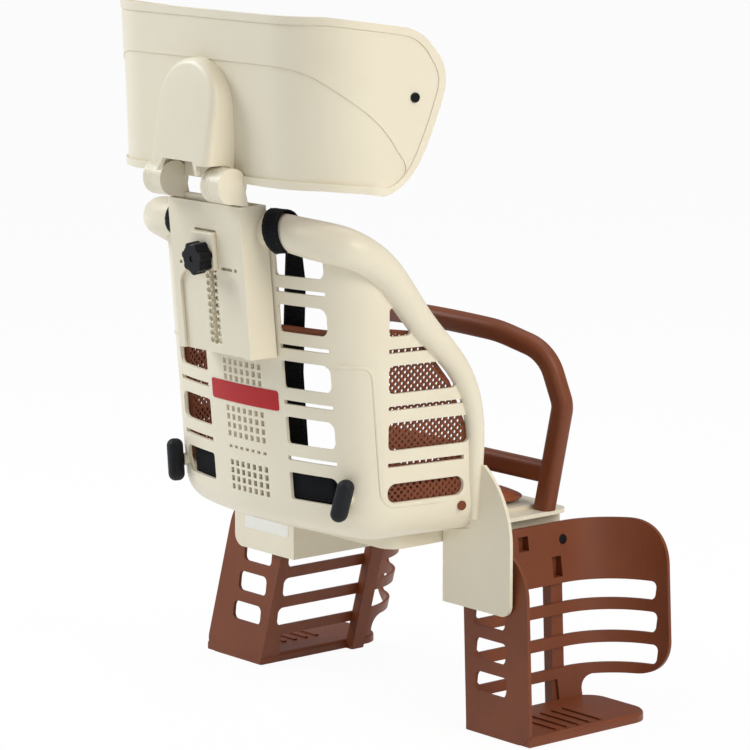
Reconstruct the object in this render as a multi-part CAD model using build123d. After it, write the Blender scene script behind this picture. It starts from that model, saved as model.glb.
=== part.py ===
from build123d import *
from math import asin, cos, radians, sin, tan
import os

# Millimetres. +X is the rider's right, +Y is forward, +Z is up.
# The origin is the centre of the carrier bolts, on the carrier's top face.

# General fits
fit = 0.3
slide_fit = 0.6
running = 0.08

# Shell: plan at the height of the carrier, then leaned back by the recline
wall = 3.5
recline = 5.0
back_y = -124.5
back_radius = 430.0
back_half = 115.0
corner_radius = 46.0
side_flare = 8.0
shell_front = 15.0
floor_z = 16.0
bottom_round = 34.0

# Rim: half width, height and radius along the back, then depth, height and radius down the side
rim_back = [(0, 305, 17), (70, 304, 17)]
rim_side = [(-95, 277, 16), (-50, 222, 13.5), (-6, 171, 11), (10, 125, 9.3), (11.5, 70, 7.5), (12, 30, 4)]
rim_corner = (294, 18)
rim_shoulder = (300, 18.5)
rim_out = 5.0
rim_rings = 16

# Windows: the same rows on the back and on the sides
row_first = 64.5
row_pitch = 53.0
row_height = 26.0
row_round = 5.0
window_rounds = (3.0, 8.0)
row_count = 5
thin_slot = 4.0
window_inner = 57.0
window_outer = 114.0
side_window_rear = -84.0
side_window_front = [-2, 3, -8]
pill_height = 18.0

# Perforations down the middle of the back: lowest row, pitch and count of each group
perf_size = (4.8, 5.4)
perf_pitch = 8.6
perf_columns = 7
perf_groups = [(51.0, 7.8, 4), (102.5, 8.2, 4), (157.0, 7.8, 3)]
perf_row = 90.0
perf_row_height = 2.8

# Column that guides the headrest stay
column_half = 54.0
column_proud = 29.0
column_wall = 3.0
column_low = 186.0
column_top = 328.0
housing_low = 262.0
strip_width = 9.0
strip_round = 16.0
guide_width = 8.0
bridge_height = 26.0
bridge_thick = 4.0
vent_height = 3.0
vents = [(22, 14), (34, 4), (41, 4)]

# Stay, clamp and knob
stay_thick = 5.5
stay_skin = 3.0
stay_flange = 6.0
knob_z = 278.0
travel = 80.0
slot_neck = 7.0
slot_spare = 2.0
tooth_radius = 2.8
tooth_x = 6.0
tooth_pitch = 6.7
tooth_depth = 2.5
window_half = 16.0
window_top = 303.0
block_height = 36.0
block_proud = 5.0
knob_radius = 15.5
knob_lobe = 4.0
knob_lobes = 7
knob_height = 13.0
bolt_radius = 3.0
nut_flats = 10.0
nut_height = 5.0

# Headrest hinge
hinge_y = -192.0
hinge_z = 348.0
eye_radius = 16.5
arm_place = 43.5
arm_rise = 6.0
arm_width = 15.0
leaf = 3.4
leaf_gap = 0.4
pin_radius = 3.0
pin_cover = 3.0

# Headrest shell
head_wall = 3.2
head_y = -180.0
head_flat = 96.0
head_corner = 75.0
head_flare = 10.0
head_lean = 2.0
head_low = 350.0
head_high = 505.0
wing_tip = (-36.0, 486.0)
wing_low = (-88.0, 343.0)
wing_top_round = 46.0
wing_low_round = 22.0
bead_width = 7.0
bead_proud = 2.4
crease = [(-205, 461), (-175, 457), (-153, 440), (-109, 402), (-88, 366), (-84, 330)]
crease_step = 1.2
bump_half = 43.0
bump_proud = 33.0
bump_top = 461.0
bump_low = 357.0
bump_slope = 9.0
bump_wall = 3.0
notch = (29.0, 22.0, 12.0)
pad_thick = 14.0
pad_inset = 12.0
head_screw = (-79.0, 431.0)

# Flaps and skirts
flap_y = 13.0
flap_inner = 112.5
flap_outer = 207.0
flap_low = -57.0
flap_shoulder = 13.0
flap_top = (170.0, 82.0)
flap_round = 12.0
skirt_front = 160.0

# Base deck
base_half = 111.0
deck_half = 131.0
base_rear = -50.0
base_front = 160.0
deck = 4.0
bolt_x = 75.0
bolt_y = 25.0
carrier_hole = 3.3
boss_radius = 9.0
head_room = 9.0

# Leg guards, right one
splay = 9.5
guard_lean = 6.5
guard_wall = 3.5
guard_x = 128.0
guard_y = 24.0
guard_outer = 217.0
guard_straight = 150.0
guard_curve = 75.0
guard_turn = 88.0
guard_top = 4.0
guard_bottom = -171.5
guard_slots = [(-72, -54), (-103, -83), (-133, -114)]
guard_slot_round = 6.0
corner_post = (14.0, 10.0)
guard_rounds = (48.0, 30.0)
rear_rounds = (52.0, 14.0)
panel_low = -143.0
band_x = 186.0
tongue = (122.0, 150.0)
tongue_round = 14.0
post = (135.0, 150.0)
post_deep = 11.0
plate_thick = 9.0
plate_front = 165.0
plate_outer = 244.0
plate_round = 24.0
ridge = (52.0, 4.0, 1.6)
ridge_first = 46.0
ridge_pitch = 14.0
ridge_count = 5
latches = [(97, -11, 13, 14), (137, -38, 12, 20)]
latch_deep = 4.5
latch_wall = 1.8
guard_screw = (148.0, -13.0)

# Hand grip hoop
hoop_points = [(121, 135, 16), (148, 133, 122), (134, 125, 172), (82, 110, 188), (0, 100, 193)]
hoop_bends = [24.0, 40.0, 90.0]
hoop_top_bend = 400.0
hoop_size = (17.0, 21.0)
crossbar = (53.0, 21.0, 15.0)

# Soft pieces
cushion_half = 100.0
cushion_rear = -68.0
cushion_front = 140.0
cushion_thick = 13.0
liner_thick = 3.0
liner_rear = -66.0
liner_front = [(-0.8, 118), (-17, 163), (-60, 209)]
liner_low = 52.0
liner_high = 214.0
liner_bar = 15.0
liner_edge = 6.0
webbing = 1.8
strap_width = 26.0
strap_gap = 2.3
strap_x = 67.5
strap_inner = 52.0
strap_bend = 170.0
strap_end = 92.0
strap_turns = [215, 190, 165, 140, 115, 90, 65, 40, 15]
belt_low = 50.0
belt_high = 84.0
belt_half = 112.0
lap_width = 25.0
crotch_width = 30.0
buckle_place = (0.0, 40.0)
buckle_size = (46.0, 58.0, 17.0)
button_size = (20.0, 22.0, 5.0)
button_travel = 3.0

# Bumpers on their stems, side plugs and floor screws
bumper_x = 122.0
bumper_z = 60.0
stem_length = 3.0
stem_radius = 6.0
bumper_size = (15.5, 41.0, 15.5)
bumper_round = 6.5
bumper_tilt = 15.0
plug_spot = (-4.0, 45.0)
floor_screws = [(88, -38), (-88, -38), (88, 110), (-88, 110)]

lean = tan(radians(recline))
head_slope = tan(radians(head_lean))
strap_low = floor_z + wall + fit + cushion_thick + fit


def plan_points(inset):
    """Right half of the shell's plan: end of the back, middle and end of the corner."""
    turn = asin(back_half / back_radius)
    end_turn = radians(90 - side_flare)
    centre_y = back_y + back_radius
    reach = back_radius - corner_radius
    hub = (reach * sin(turn), centre_y - reach * cos(turn))
    radius = corner_radius - inset
    turns = (turn, (turn + end_turn) / 2, end_turn)
    return [(hub[0] + radius * sin(a), hub[1] - radius * cos(a)) for a in turns]


def flip(point):
    return (-point[0],) + tuple(point[1:])


def side_x(plan_y, inset=0.0):
    """Half width of the shell's side at a plan depth."""
    end = plan_points(inset)[2]
    return end[0] + (plan_y - end[1]) * tan(radians(side_flare))


def plan_face(inset, front):
    start, middle, end = plan_points(inset)
    corner = (side_x(front, inset), front)
    lines = [
        ThreePointArc(flip(start), (0, back_y + inset), start),
        ThreePointArc(start, middle, end),
        Line(end, corner),
        Line(corner, flip(corner)),
        Line(flip(corner), flip(end)),
        ThreePointArc(flip(end), flip(middle), flip(start)),
    ]
    return make_face(lines)


def leaned(face, low, high, slope=lean):
    """Prism between two heights, leaning back as it rises."""
    placed = Pos(0, -low * slope, low) * face
    return extrude(placed, amount=(high - low) * (1 + slope**2) ** 0.5, dir=(0, -slope, 1))


def across(face, left, right):
    """Prism along X from a profile drawn in depth and height."""
    return extrude(Plane.YZ.offset(left) * face, amount=right - left)


def along(face, rear, front):
    """Prism along Y from a profile drawn in width and height."""
    plane = Plane(origin=(0, rear, 0), x_dir=(1, 0, 0), z_dir=(0, -1, 0))
    return extrude(plane * face, amount=rear - front)


def block(x0, x1, y0, y1, z0, z1):
    return Pos((x0 + x1) / 2, (y0 + y1) / 2, (z0 + z1) / 2) * Box(x1 - x0, y1 - y0, z1 - z0)


def polygon(points):
    return make_face(Polyline(points, close=True))


def both(solid):
    return solid + mirror(solid, about=Plane.YZ)


def pair(solid):
    return Compound(children=[solid, mirror(solid, about=Plane.YZ)])


def bar(radius, start, end):
    """Round bar between two points."""
    start = Vector(start)
    run = Vector(end) - start
    return extrude(Plane(origin=start, z_dir=run) * Circle(radius), amount=run.length)


def column_point(depth, height):
    """Depth and height of a point so far inside the column's rear face."""
    return back_y - column_proud - height * lean + depth, height


def column_slab(depth_from, depth_to, low, high, half):
    corners = [
        column_point(depth_from, low),
        column_point(depth_to, low),
        column_point(depth_to, high),
        column_point(depth_from, high),
    ]
    return across(polygon(corners), -half, half)


def column_cut(face, depth_from, depth_to):
    """Leaned cut into the column, from a profile drawn in width and height."""
    slab = column_slab(depth_from, depth_to, column_low - 40, column_top + 60, column_half + 20)
    return along(face, 0, 4 * back_y) & slab


def column_frame(depth):
    """Plane across the knob's axis, so far inside the column's rear face."""
    rear = Plane(origin=(0, *column_point(0, knob_z)), x_dir=(1, 0, 0), z_dir=(0, -1, -lean))
    return rear.offset(-depth * cos(radians(recline)))


def back_plan(x):
    """Depth of the back's outer face in plan."""
    return back_y + back_radius - (back_radius**2 - x**2) ** 0.5


rim_path = [(x, back_plan(x) + wall / 2 - z * lean, z, r) for x, z, r in rim_back]
start, middle, end = plan_points(wall / 2 - rim_out)
rim_path.append((start[0], start[1] - rim_shoulder[0] * lean, *rim_shoulder))
rim_path.append((middle[0], middle[1] - rim_corner[0] * lean, *rim_corner))
rim_path += [(side_x(y + z * lean, wall / 2), y, z, r) for y, z, r in rim_side]


def make_rim():
    points = [Vector(*p[:3]) for p in rim_path]
    path = Spline(*points, tangents=[(1, 0, 0), (0, 0, -1)])
    rings = []
    for i in range(rim_rings + 1):
        place = path @ (i / rim_rings)
        tangent = path % (i / rim_rings)
        guide = Vector(0, 1, 1)
        sideways = guide - tangent * guide.dot(tangent)
        radius = rim_radius(points, place)
        rings.append(Plane(origin=place, x_dir=sideways, z_dir=tangent) * Circle(radius))
    return both(loft(rings))


def rim_radius(points, place):
    """Radius of the rim at a place, between those of the nearest stations."""
    order = sorted(range(len(points)), key=lambda i: (points[i] - place).length)[:2]
    near, far = ((points[i] - place).length for i in order)
    first, second = (rim_path[i][3] for i in order)
    return (first * far + second * near) / (near + far)


def bucket(inset, front, low, high, rounding):
    solid = leaned(plan_face(inset, front), low, high)
    edges = solid.edges().group_by(Axis.Z)[0].sort_by(Axis.Y)[:-1]
    return fillet(edges, rounding)


def rim_trim():
    """Side outline of the shell: everything under the rim's centre line."""
    over = rim_path[0][2]
    line = [(p[1], p[2]) for p in rim_path[1:]]
    line = [(back_y * 2, over)] + line
    line += [(shell_front, rim_side[-1][1]), (shell_front, 0), (back_y * 2, 0)]
    return across(polygon(line), -2 * back_half, 2 * back_half)


def row_heights():
    return [row_first + i * row_pitch for i in range(row_count)]


def back_windows():
    width = window_outer - window_inner
    centre = (window_inner + window_outer) / 2
    faces = []
    for i, height in enumerate(row_heights()):
        window = Pos(centre, height) * Rectangle(width, row_height)
        for corners, radius in zip(window.vertices().group_by(Axis.X), window_rounds):
            spots = [tuple(corner) for corner in corners]
            for spot in spots:
                window = fillet(window.vertices().sort_by_distance(spot)[0], radius)
        faces.append(window)
        if i + 1 < row_count:
            faces.append(Pos(centre, height + row_pitch / 2) * Rectangle(width, thin_slot))
    cuts = [along(face, 2 * back_y, -back_half + wall) for face in faces]
    return cuts + [mirror(cut, about=Plane.YZ) for cut in cuts]


def perforations():
    """Slots in groups down the middle of the back, and one row of low holes."""
    wide, tall = perf_size
    spots = [(perf_row, perf_row_height)]
    for low, pitch, count in perf_groups:
        spots += [(low + i * pitch, tall) for i in range(count)]
    columns = [(i - (perf_columns - 1) / 2) * perf_pitch for i in range(perf_columns)]
    faces = [Pos(x, z) * Rectangle(wide, high) for x in columns for z, high in spots]
    return [along(face, 2 * back_y, -back_half + wall) for face in faces]


def side_windows():
    rows = row_heights()
    profiles = []
    for i, height in enumerate(rows[:3]):
        tall = pill_height if i == 0 else row_height
        front = side_window_front[i]
        slant = 0 if i < 2 else tall * 0.5
        outline = polygon(
            [
                (side_window_rear, height - tall / 2),
                (front, height - tall / 2),
                (front - slant, height + tall / 2),
                (side_window_rear, height + tall / 2),
            ]
        )
        profiles.append(fillet(outline.vertices(), tall * 0.45 if i == 0 else row_round))
        reach = (front - slant) - 6 * i
        slot = Pos((side_window_rear + reach) / 2, height + row_pitch / 2)
        profiles.append(slot * Rectangle(reach - side_window_rear, thin_slot))
    low = rows[3] - row_height / 2
    top = polygon([(side_window_rear, low), (side_window_rear + 26, low), (side_window_rear, low + 32)])
    profiles.append(fillet(top.vertices(), 3))
    cuts = [across(profile, back_half, 2 * back_half) for profile in profiles]
    return cuts + [mirror(cut, about=Plane.YZ) for cut in cuts]


def make_column():
    deep = column_proud + wall / 2
    solid = column_slab(0, deep, column_low, column_top, column_half)
    channel = column_half - column_wall
    hollow = column_slab(column_wall, column_proud, column_low - 1, column_top + 1, channel)
    solid -= hollow
    guide_from = column_wall + fit * 2 + stay_thick
    guide = column_slab(guide_from, guide_from + column_wall, column_low, column_top, channel + 1)
    solid += guide - column_slab(0, deep, 0, column_top + 1, channel - guide_width)
    low, high = knob_z - bridge_height / 2, knob_z + bridge_height / 2
    solid += column_slab(guide_from, guide_from + bridge_thick, low, high, channel + 1)
    wide, tall = 2 * (column_half - strip_width), housing_low - column_low + 20
    opening = Pos(0, housing_low - tall / 2) * Rectangle(wide, tall)
    opening = fillet(opening.vertices().group_by(Axis.Y)[-1], strip_round)
    solid -= column_cut(opening, -20, column_wall + fit)
    tall = window_top - housing_low + 10
    window = Pos(0, window_top - tall / 2) * Rectangle(2 * window_half, tall)
    solid -= column_cut(window, -20, column_wall + fit)
    for place, width in vents:
        for side in (1, -1):
            spot = Pos(side * (place + width / 2 - 2), housing_low + 2 * vent_height)
            vent = spot * Rectangle(width, vent_height)
            solid -= column_cut(vent, -20, column_wall + fit)
    hole = column_frame(column_proud - wall) * Circle(bolt_radius + fit)
    return solid - extrude(hole, amount=column_proud)


def make_flap():
    outline = [
        Line((flap_inner, flap_low), (flap_outer, flap_low)),
        Line((flap_outer, flap_low), (flap_outer, flap_shoulder)),
        ThreePointArc((flap_outer, flap_shoulder), (flap_outer - 9, flap_shoulder + 36), flap_top),
        Line(flap_top, (side_x(0) - wall, flap_top[1])),
        Line((side_x(0) - wall, flap_top[1]), (side_x(0) - 2 * wall, floor_z + wall)),
        Line((side_x(0) - 2 * wall, floor_z + wall), (flap_inner, floor_z - deck - fit)),
        Line((flap_inner, floor_z - deck - fit), (flap_inner, flap_low)),
    ]
    face = make_face(outline)
    corner = face.vertices().sort_by(lambda v: v.X - v.Y)[-1]
    plate = along(fillet(corner, flap_round), flap_y + wall, flap_y)
    skirt_face = polygon(
        [
            (flap_y, flap_low),
            (skirt_front, flap_low),
            (skirt_front, floor_z - deck - fit),
            (flap_y, floor_z - deck - fit),
        ]
    )
    lower_front = skirt_face.vertices().sort_by(lambda v: v.X - v.Y)[-1]
    skirt = across(fillet(lower_front, flap_round * 2), flap_inner, flap_inner + wall)
    solid = plate + skirt
    y, z = guard_screw
    solid += bar(8, (flap_inner + 1, y, z), (guard_face(z) - 1.6, y, z))
    solid -= bar(2.5, (flap_inner - 1, y, z), (guard_face(z) + 5, y, z))
    return solid


def guard_face(z):
    """Inner face of the leg guard's panel at a height."""
    return guard_x - z * tan(radians(splay))


def stem_frame(side):
    """Place and outward direction of a bumper's stem on the shell's corner."""
    hub = plan_points(corner_radius)[0]
    turn = asin((bumper_x - hub[0]) / corner_radius)
    foot = Vector(side * bumper_x, hub[1] - corner_radius * cos(turn) - bumper_z * lean, bumper_z)
    return foot, Vector(side * sin(turn), -cos(turn), 0)


def make_shell():
    rim_height = rim_path[0][2]
    outer = bucket(0, shell_front + 40, floor_z, rim_height + 20, bottom_round) & rim_trim()
    inner = bucket(wall, shell_front + 60, floor_z + wall, rim_height + 40, bottom_round - wall)
    solid = outer + make_column() - inner
    solid += both(make_flap())
    tongue_half = hoop_points[0][0] - hoop_size[0] / 2 - 3
    solid += block(-tongue_half, tongue_half, shell_front - 4, base_front - 8, floor_z, floor_z + wall)
    for side in (1, -1):
        foot, outward = stem_frame(side)
        solid += bar(stem_radius, foot - outward * wall * 0.6, foot + outward * stem_length)
        seat, inward = plug_place(side)
        solid -= bar(2.0, seat - inward * 5, seat + inward * 8)
    solid -= back_windows() + side_windows() + floor_holes() + perforations()
    return solid + make_rim()


def floor_holes():
    level = floor_z + wall / 2
    spots = [(x, y) for x in (bolt_x, -bolt_x) for y in (bolt_y, -bolt_y)]
    cuts = [Pos(x, y, level) * Cylinder(head_room, wall * 2) for x, y in spots]
    for x, y in floor_screws:
        cuts.append(Pos(x, y, level) * Cylinder(2.3, wall * 2))
        cuts.append(Pos(x, y, floor_z + wall) * Cylinder(4.8, wall))
    return cuts


def make_base():
    outline = block(-base_half, base_half, base_rear, base_front, 0, floor_z)
    outline = fillet(outline.edges().filter_by(Axis.Z), 18)
    inside = base_half - wall
    inner = block(-inside, inside, base_rear + wall, base_front - wall, -1, floor_z - deck)
    inner = fillet(inner.edges().filter_by(Axis.Z), 18 - wall)
    solid = outline - inner
    flange = block(-deck_half, deck_half, shell_front + 10, base_front, floor_z - deck, floor_z)
    solid += fillet(flange.edges().filter_by(Axis.Z), 14)
    for y in (-bolt_y, bolt_y):
        solid += block(-base_half + 1, base_half - 1, y - wall / 2, y + wall / 2, 0, floor_z - deck)
    for x in (-bolt_x, bolt_x):
        solid += block(x - wall / 2, x + wall / 2, base_rear + 1, base_front - 1, 0, floor_z - deck)
        for y in (-bolt_y, bolt_y):
            solid += Pos(x, y, floor_z / 2) * Cylinder(boss_radius, floor_z)
            solid -= Pos(x, y, 0) * Cylinder(carrier_hole, 3 * floor_z)
    for x, y in floor_screws:
        solid += Pos(x, y, floor_z / 2) * Cylinder(5, floor_z)
        solid -= Pos(x, y, floor_z) * Cylinder(1.9, 18)
    return solid


def make_stay():
    half = column_half - column_wall - slide_fit
    depth = column_wall + fit
    top = column_top + arm_rise
    solid = column_slab(depth, depth + stay_thick, column_low, top, half)
    low, high = column_low + stay_flange, top - stay_flange
    pocket = column_slab(depth + stay_skin, depth + stay_thick + 1, low, high, half - stay_flange)
    keep = column_slab(depth, depth + stay_thick, column_low, top, slot_neck + 3)
    solid -= pocket - keep
    low = knob_z - travel
    long = travel + slot_neck + slot_spare
    rail = Pos(0, (low + knob_z + slot_spare) / 2) * SlotOverall(long, slot_neck, rotation=90)
    solid -= column_cut(rail, -20, column_proud)
    for i in range(int(travel / tooth_pitch) + 1):
        for side in (tooth_x, -tooth_x):
            tooth = Pos(side, low + i * tooth_pitch) * Circle(tooth_radius)
            solid -= column_cut(tooth, -20, depth + tooth_depth)
    for centre in (arm_place, -arm_place):
        solid += make_arm(centre)
    return solid


def barrel(left, right, radius):
    return bar(radius, (left, hinge_y, hinge_z), (right, hinge_y, hinge_z))


def leaf_spans(centre):
    """X spans of a hinge from its left: headrest leaf, arm fin, headrest leaf, arm."""
    left = centre - (arm_width + 3 * (leaf + leaf_gap)) / 2
    spans = []
    for width in (leaf, leaf, leaf, arm_width):
        spans.append((left, left + width))
        left += width + leaf_gap
    return spans


def make_arm(centre):
    spans = leaf_spans(centre)
    low = column_top + 1
    rear = column_point(column_wall + fit, low)[0]
    neck = polygon(
        [
            (rear, low),
            (rear + stay_thick, low),
            (hinge_y + eye_radius * 0.94, hinge_z - eye_radius * 0.34),
            (hinge_y, hinge_z),
            (hinge_y - eye_radius * 0.5, hinge_z - eye_radius * 0.86),
        ]
    )
    solid = across(neck, *spans[1]) + barrel(*spans[1], eye_radius)
    solid += across(neck, *spans[3]) + barrel(*spans[3], eye_radius)
    foot = rear + 0.6, rear + stay_thick - 0.6, low, low + arm_rise - 2
    solid += block(spans[1][0], spans[3][1], *foot)
    return solid - barrel(spans[0][0] - 5, spans[3][1] - pin_cover, pin_radius + running)


def head_plan(inset, front):
    b = radians(90 - head_flare)
    r = head_corner - inset
    hub = (head_flat, head_y + head_corner)
    start = (head_flat, head_y + inset)
    middle = (hub[0] + r * sin(b / 2), hub[1] - r * cos(b / 2))
    end = (hub[0] + r * sin(b), hub[1] - r * cos(b))
    tip = (end[0] + (front - end[1]) * tan(radians(head_flare)), front)
    lines = [
        Line(flip(start), start),
        ThreePointArc(start, middle, end),
        Line(end, tip),
        Line(tip, flip(tip)),
        Line(flip(tip), flip(end)),
        ThreePointArc(flip(end), flip(middle), flip(start)),
    ]
    return make_face(lines)


def head_skin(outset, inset):
    """Wall of the headrest between two offsets from its rear face, untrimmed."""
    low, high = head_low - 30, head_high + 30
    shift = Pos(0, (head_low + head_high) / 2 * head_slope, 0)
    outer = leaned(shift * head_plan(-outset, wing_tip[0] + 30), low, high, head_slope)
    inner = leaned(shift * head_plan(inset, wing_tip[0] + 50), low - 5, high + 5, head_slope)
    return outer - inner


def head_outline(inset):
    """Side outline of the headrest, pulled in all round."""
    rear = head_y - 60
    points = [
        (rear, head_low),
        (head_y + 20, head_low),
        wing_low,
        wing_tip,
        (head_y + 20, head_high),
        (rear, head_high),
    ]
    face = polygon(points)
    for spot, radius in ((wing_low, wing_low_round), (wing_tip, wing_top_round)):
        face = fillet(face.vertices().sort_by_distance((*spot, 0))[0], radius)
    if inset:
        face = offset(face, -inset)
        low, high = head_low + inset, head_high - inset
        face += polygon([(rear, low), (head_y, low), (head_y, high), (rear, high)])
    return across(face, -2 * head_flat - head_corner, 2 * head_flat + head_corner)


def bump_solid(inset):
    half = bump_half - inset
    low = bump_low if inset == 0 else bump_low - 10
    arch = bump_top - inset - half
    outline = [
        Line((-half, low), (half, low)),
        Line((half, low), (half, arch)),
        ThreePointArc((half, arch), (0, arch + half), (-half, arch)),
        Line((-half, arch), (-half, low)),
    ]
    rear = head_y - bump_proud
    solid = along(make_face(outline), head_y + head_wall / 2 - inset * 0.5, rear + inset)
    slope = tan(radians(bump_slope))
    keep = polygon(
        [
            (rear + inset, low),
            (head_y + 30, low),
            (head_y + 30, bump_top + 5),
            (rear + inset + (bump_top + 5 - low) * slope, bump_top + 5),
        ]
    )
    solid = solid & across(keep, -100, 100)
    if inset == 0:
        rim_edges = solid.faces().sort_by(Axis.Y)[0].edges().sort_by(Axis.Z)[1:]
        solid = fillet(rim_edges, 7)
    return solid


def crease_zone():
    """Everything above and before the crease, seen from the side."""
    high, far = head_high + 40, wing_tip[0] + 60
    corners = [crease[-1], (far, crease[-1][1]), (far, high), (crease[0][0], high), crease[0]]
    lines = [Spline(*crease)] + [Line(a, b) for a, b in zip(corners, corners[1:])]
    return across(make_face(lines), -2 * head_flat - head_corner, 2 * head_flat + head_corner)


def make_headrest():
    solid = head_skin(0, head_wall) & head_outline(0)
    solid += head_skin(crease_step, head_wall) & head_outline(0) & crease_zone()
    border = head_outline(0) - head_outline(bead_width)
    solid += head_skin(bead_proud, head_wall) & border
    hollow = bump_solid(bump_wall)
    low, top, tall = notch
    foot, head = bump_low - 1, bump_low + tall
    gap = polygon([(-low, foot), (low, foot), (top, head), (-top, head)])
    bump = bump_solid(0) - hollow - along(gap, head_y - bump_wall, head_y - 2 * bump_proud)
    solid += bump
    for centre in (arm_place, -arm_place):
        spans = leaf_spans(centre)
        for span in (spans[1], spans[3]):
            solid -= barrel(span[0] - leaf_gap, span[1] + leaf_gap, eye_radius + 1.2)
        rear, high = head_y - bump_proud - 8, hinge_z + eye_radius + 1.5
        solid -= block(spans[0][0] - 1, spans[3][1] + leaf_gap, rear, hinge_y + 2, bump_low - 20, high)
        for span in (spans[0], spans[2]):
            web = polygon(
                [
                    (hinge_y, hinge_z),
                    (hinge_y, hinge_z + eye_radius),
                    (head_y + head_wall, hinge_z + 2.2 * eye_radius),
                    (head_y + head_wall, hinge_z + 4),
                    (head_y - 1, hinge_z),
                ]
            )
            solid += across(web, *span) + barrel(*span, eye_radius)
        solid -= barrel(spans[0][0] - 5, spans[3][1] + 5, pin_radius)
    for side in (1, -1):
        seat, inward = wing_screw(side)
        solid -= bar(2.0, seat - inward * 6, seat + inward * 8)
    return solid


def wing_screw(side):
    """Seat of a wing's screw on the outer face, and the inward direction."""
    y, z = head_screw
    b = radians(90 - head_flare)
    radius = head_corner + crease_step
    end = (head_flat + radius * sin(b), head_y + head_corner - radius * cos(b))
    plan = y + (z - (head_low + head_high) / 2) * head_slope
    x = end[0] + (plan - end[1]) * tan(radians(head_flare))
    flare = radians(head_flare)
    return Vector(side * x, y, z), Vector(-side * cos(flare), sin(flare), sin(flare) * head_slope)


def pan_screw(seat, inward, head_radius, head_height, shank_radius, length):
    head = bar(head_radius, seat - inward * head_height, seat)
    rounds = head.edges().filter_by(GeomType.CIRCLE)
    head = fillet(rounds.sort_by_distance(seat - inward * 3 * head_height)[0], head_height * 0.45)
    return head + bar(shank_radius, seat - inward * 0.2, seat + inward * length)


def make_head_pad():
    skin = head_skin(-head_wall - fit, head_wall + fit + pad_thick)
    return skin & head_outline(pad_inset)


def make_knob():
    face = Circle(knob_radius - knob_lobe / 2)
    for i in range(knob_lobes):
        spot = Rot(0, 0, 360 / knob_lobes * (i + 0.25)) * Pos(knob_radius - knob_lobe, 0)
        face += spot * Circle(knob_lobe)
    face -= Circle(bolt_radius)
    cap = extrude(column_frame(-block_proud - fit) * face, amount=knob_height)
    outer = cap.faces().sort_by(Axis.Y)[0]
    return fillet(outer.outer_wire().edges(), 1.6)


def make_bolt():
    deep = column_wall + 2 * fit + stay_thick + bridge_thick + nut_height + 1
    length = deep + block_proud + fit + knob_height - 1
    return extrude(column_frame(deep) * Circle(bolt_radius), amount=length)


def make_block():
    low, high = knob_z - block_height / 2 + 6, knob_z + block_height / 2 + 5
    solid = column_slab(-block_proud, column_wall, low, high, window_half - slide_fit)
    solid = fillet(solid.edges().filter_by(Axis.X).sort_by(Axis.Z)[-1], 2.5)
    hole = column_frame(column_proud) * Circle(bolt_radius + fit)
    return solid - extrude(hole, amount=2 * column_proud)


def make_nut():
    near = column_wall + 2 * fit + stay_thick + bridge_thick
    face = RegularPolygon(nut_flats / 2, 6, major_radius=False) - Circle(bolt_radius + running)
    return extrude(column_frame(near + nut_height) * face, amount=nut_height - fit / 4)


def make_bumper(side):
    foot, outward = stem_frame(side)
    wide, tall, thick = bumper_size
    sideways = Vector(-outward.Y, outward.X, 0)
    frame = Plane(origin=foot + outward * stem_length, x_dir=sideways, z_dir=outward)
    face = Rot(0, 0, -side * bumper_tilt) * SlotOverall(tall, wide, rotation=90)
    solid = extrude(frame * face, amount=thick)
    return fillet(solid.faces().sort_by(SortBy.AREA)[-2:].edges(), bumper_round)


def guard_prism(face, low, high):
    """Prism that leans with the leg guard."""
    out, back = tan(radians(splay)), tan(radians(guard_lean))
    placed = Pos(-high * out, high * back, high) * face
    run = high - low
    return extrude(placed, amount=run * (1 + out**2 + back**2) ** 0.5, dir=(out, -back, -1))


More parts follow.
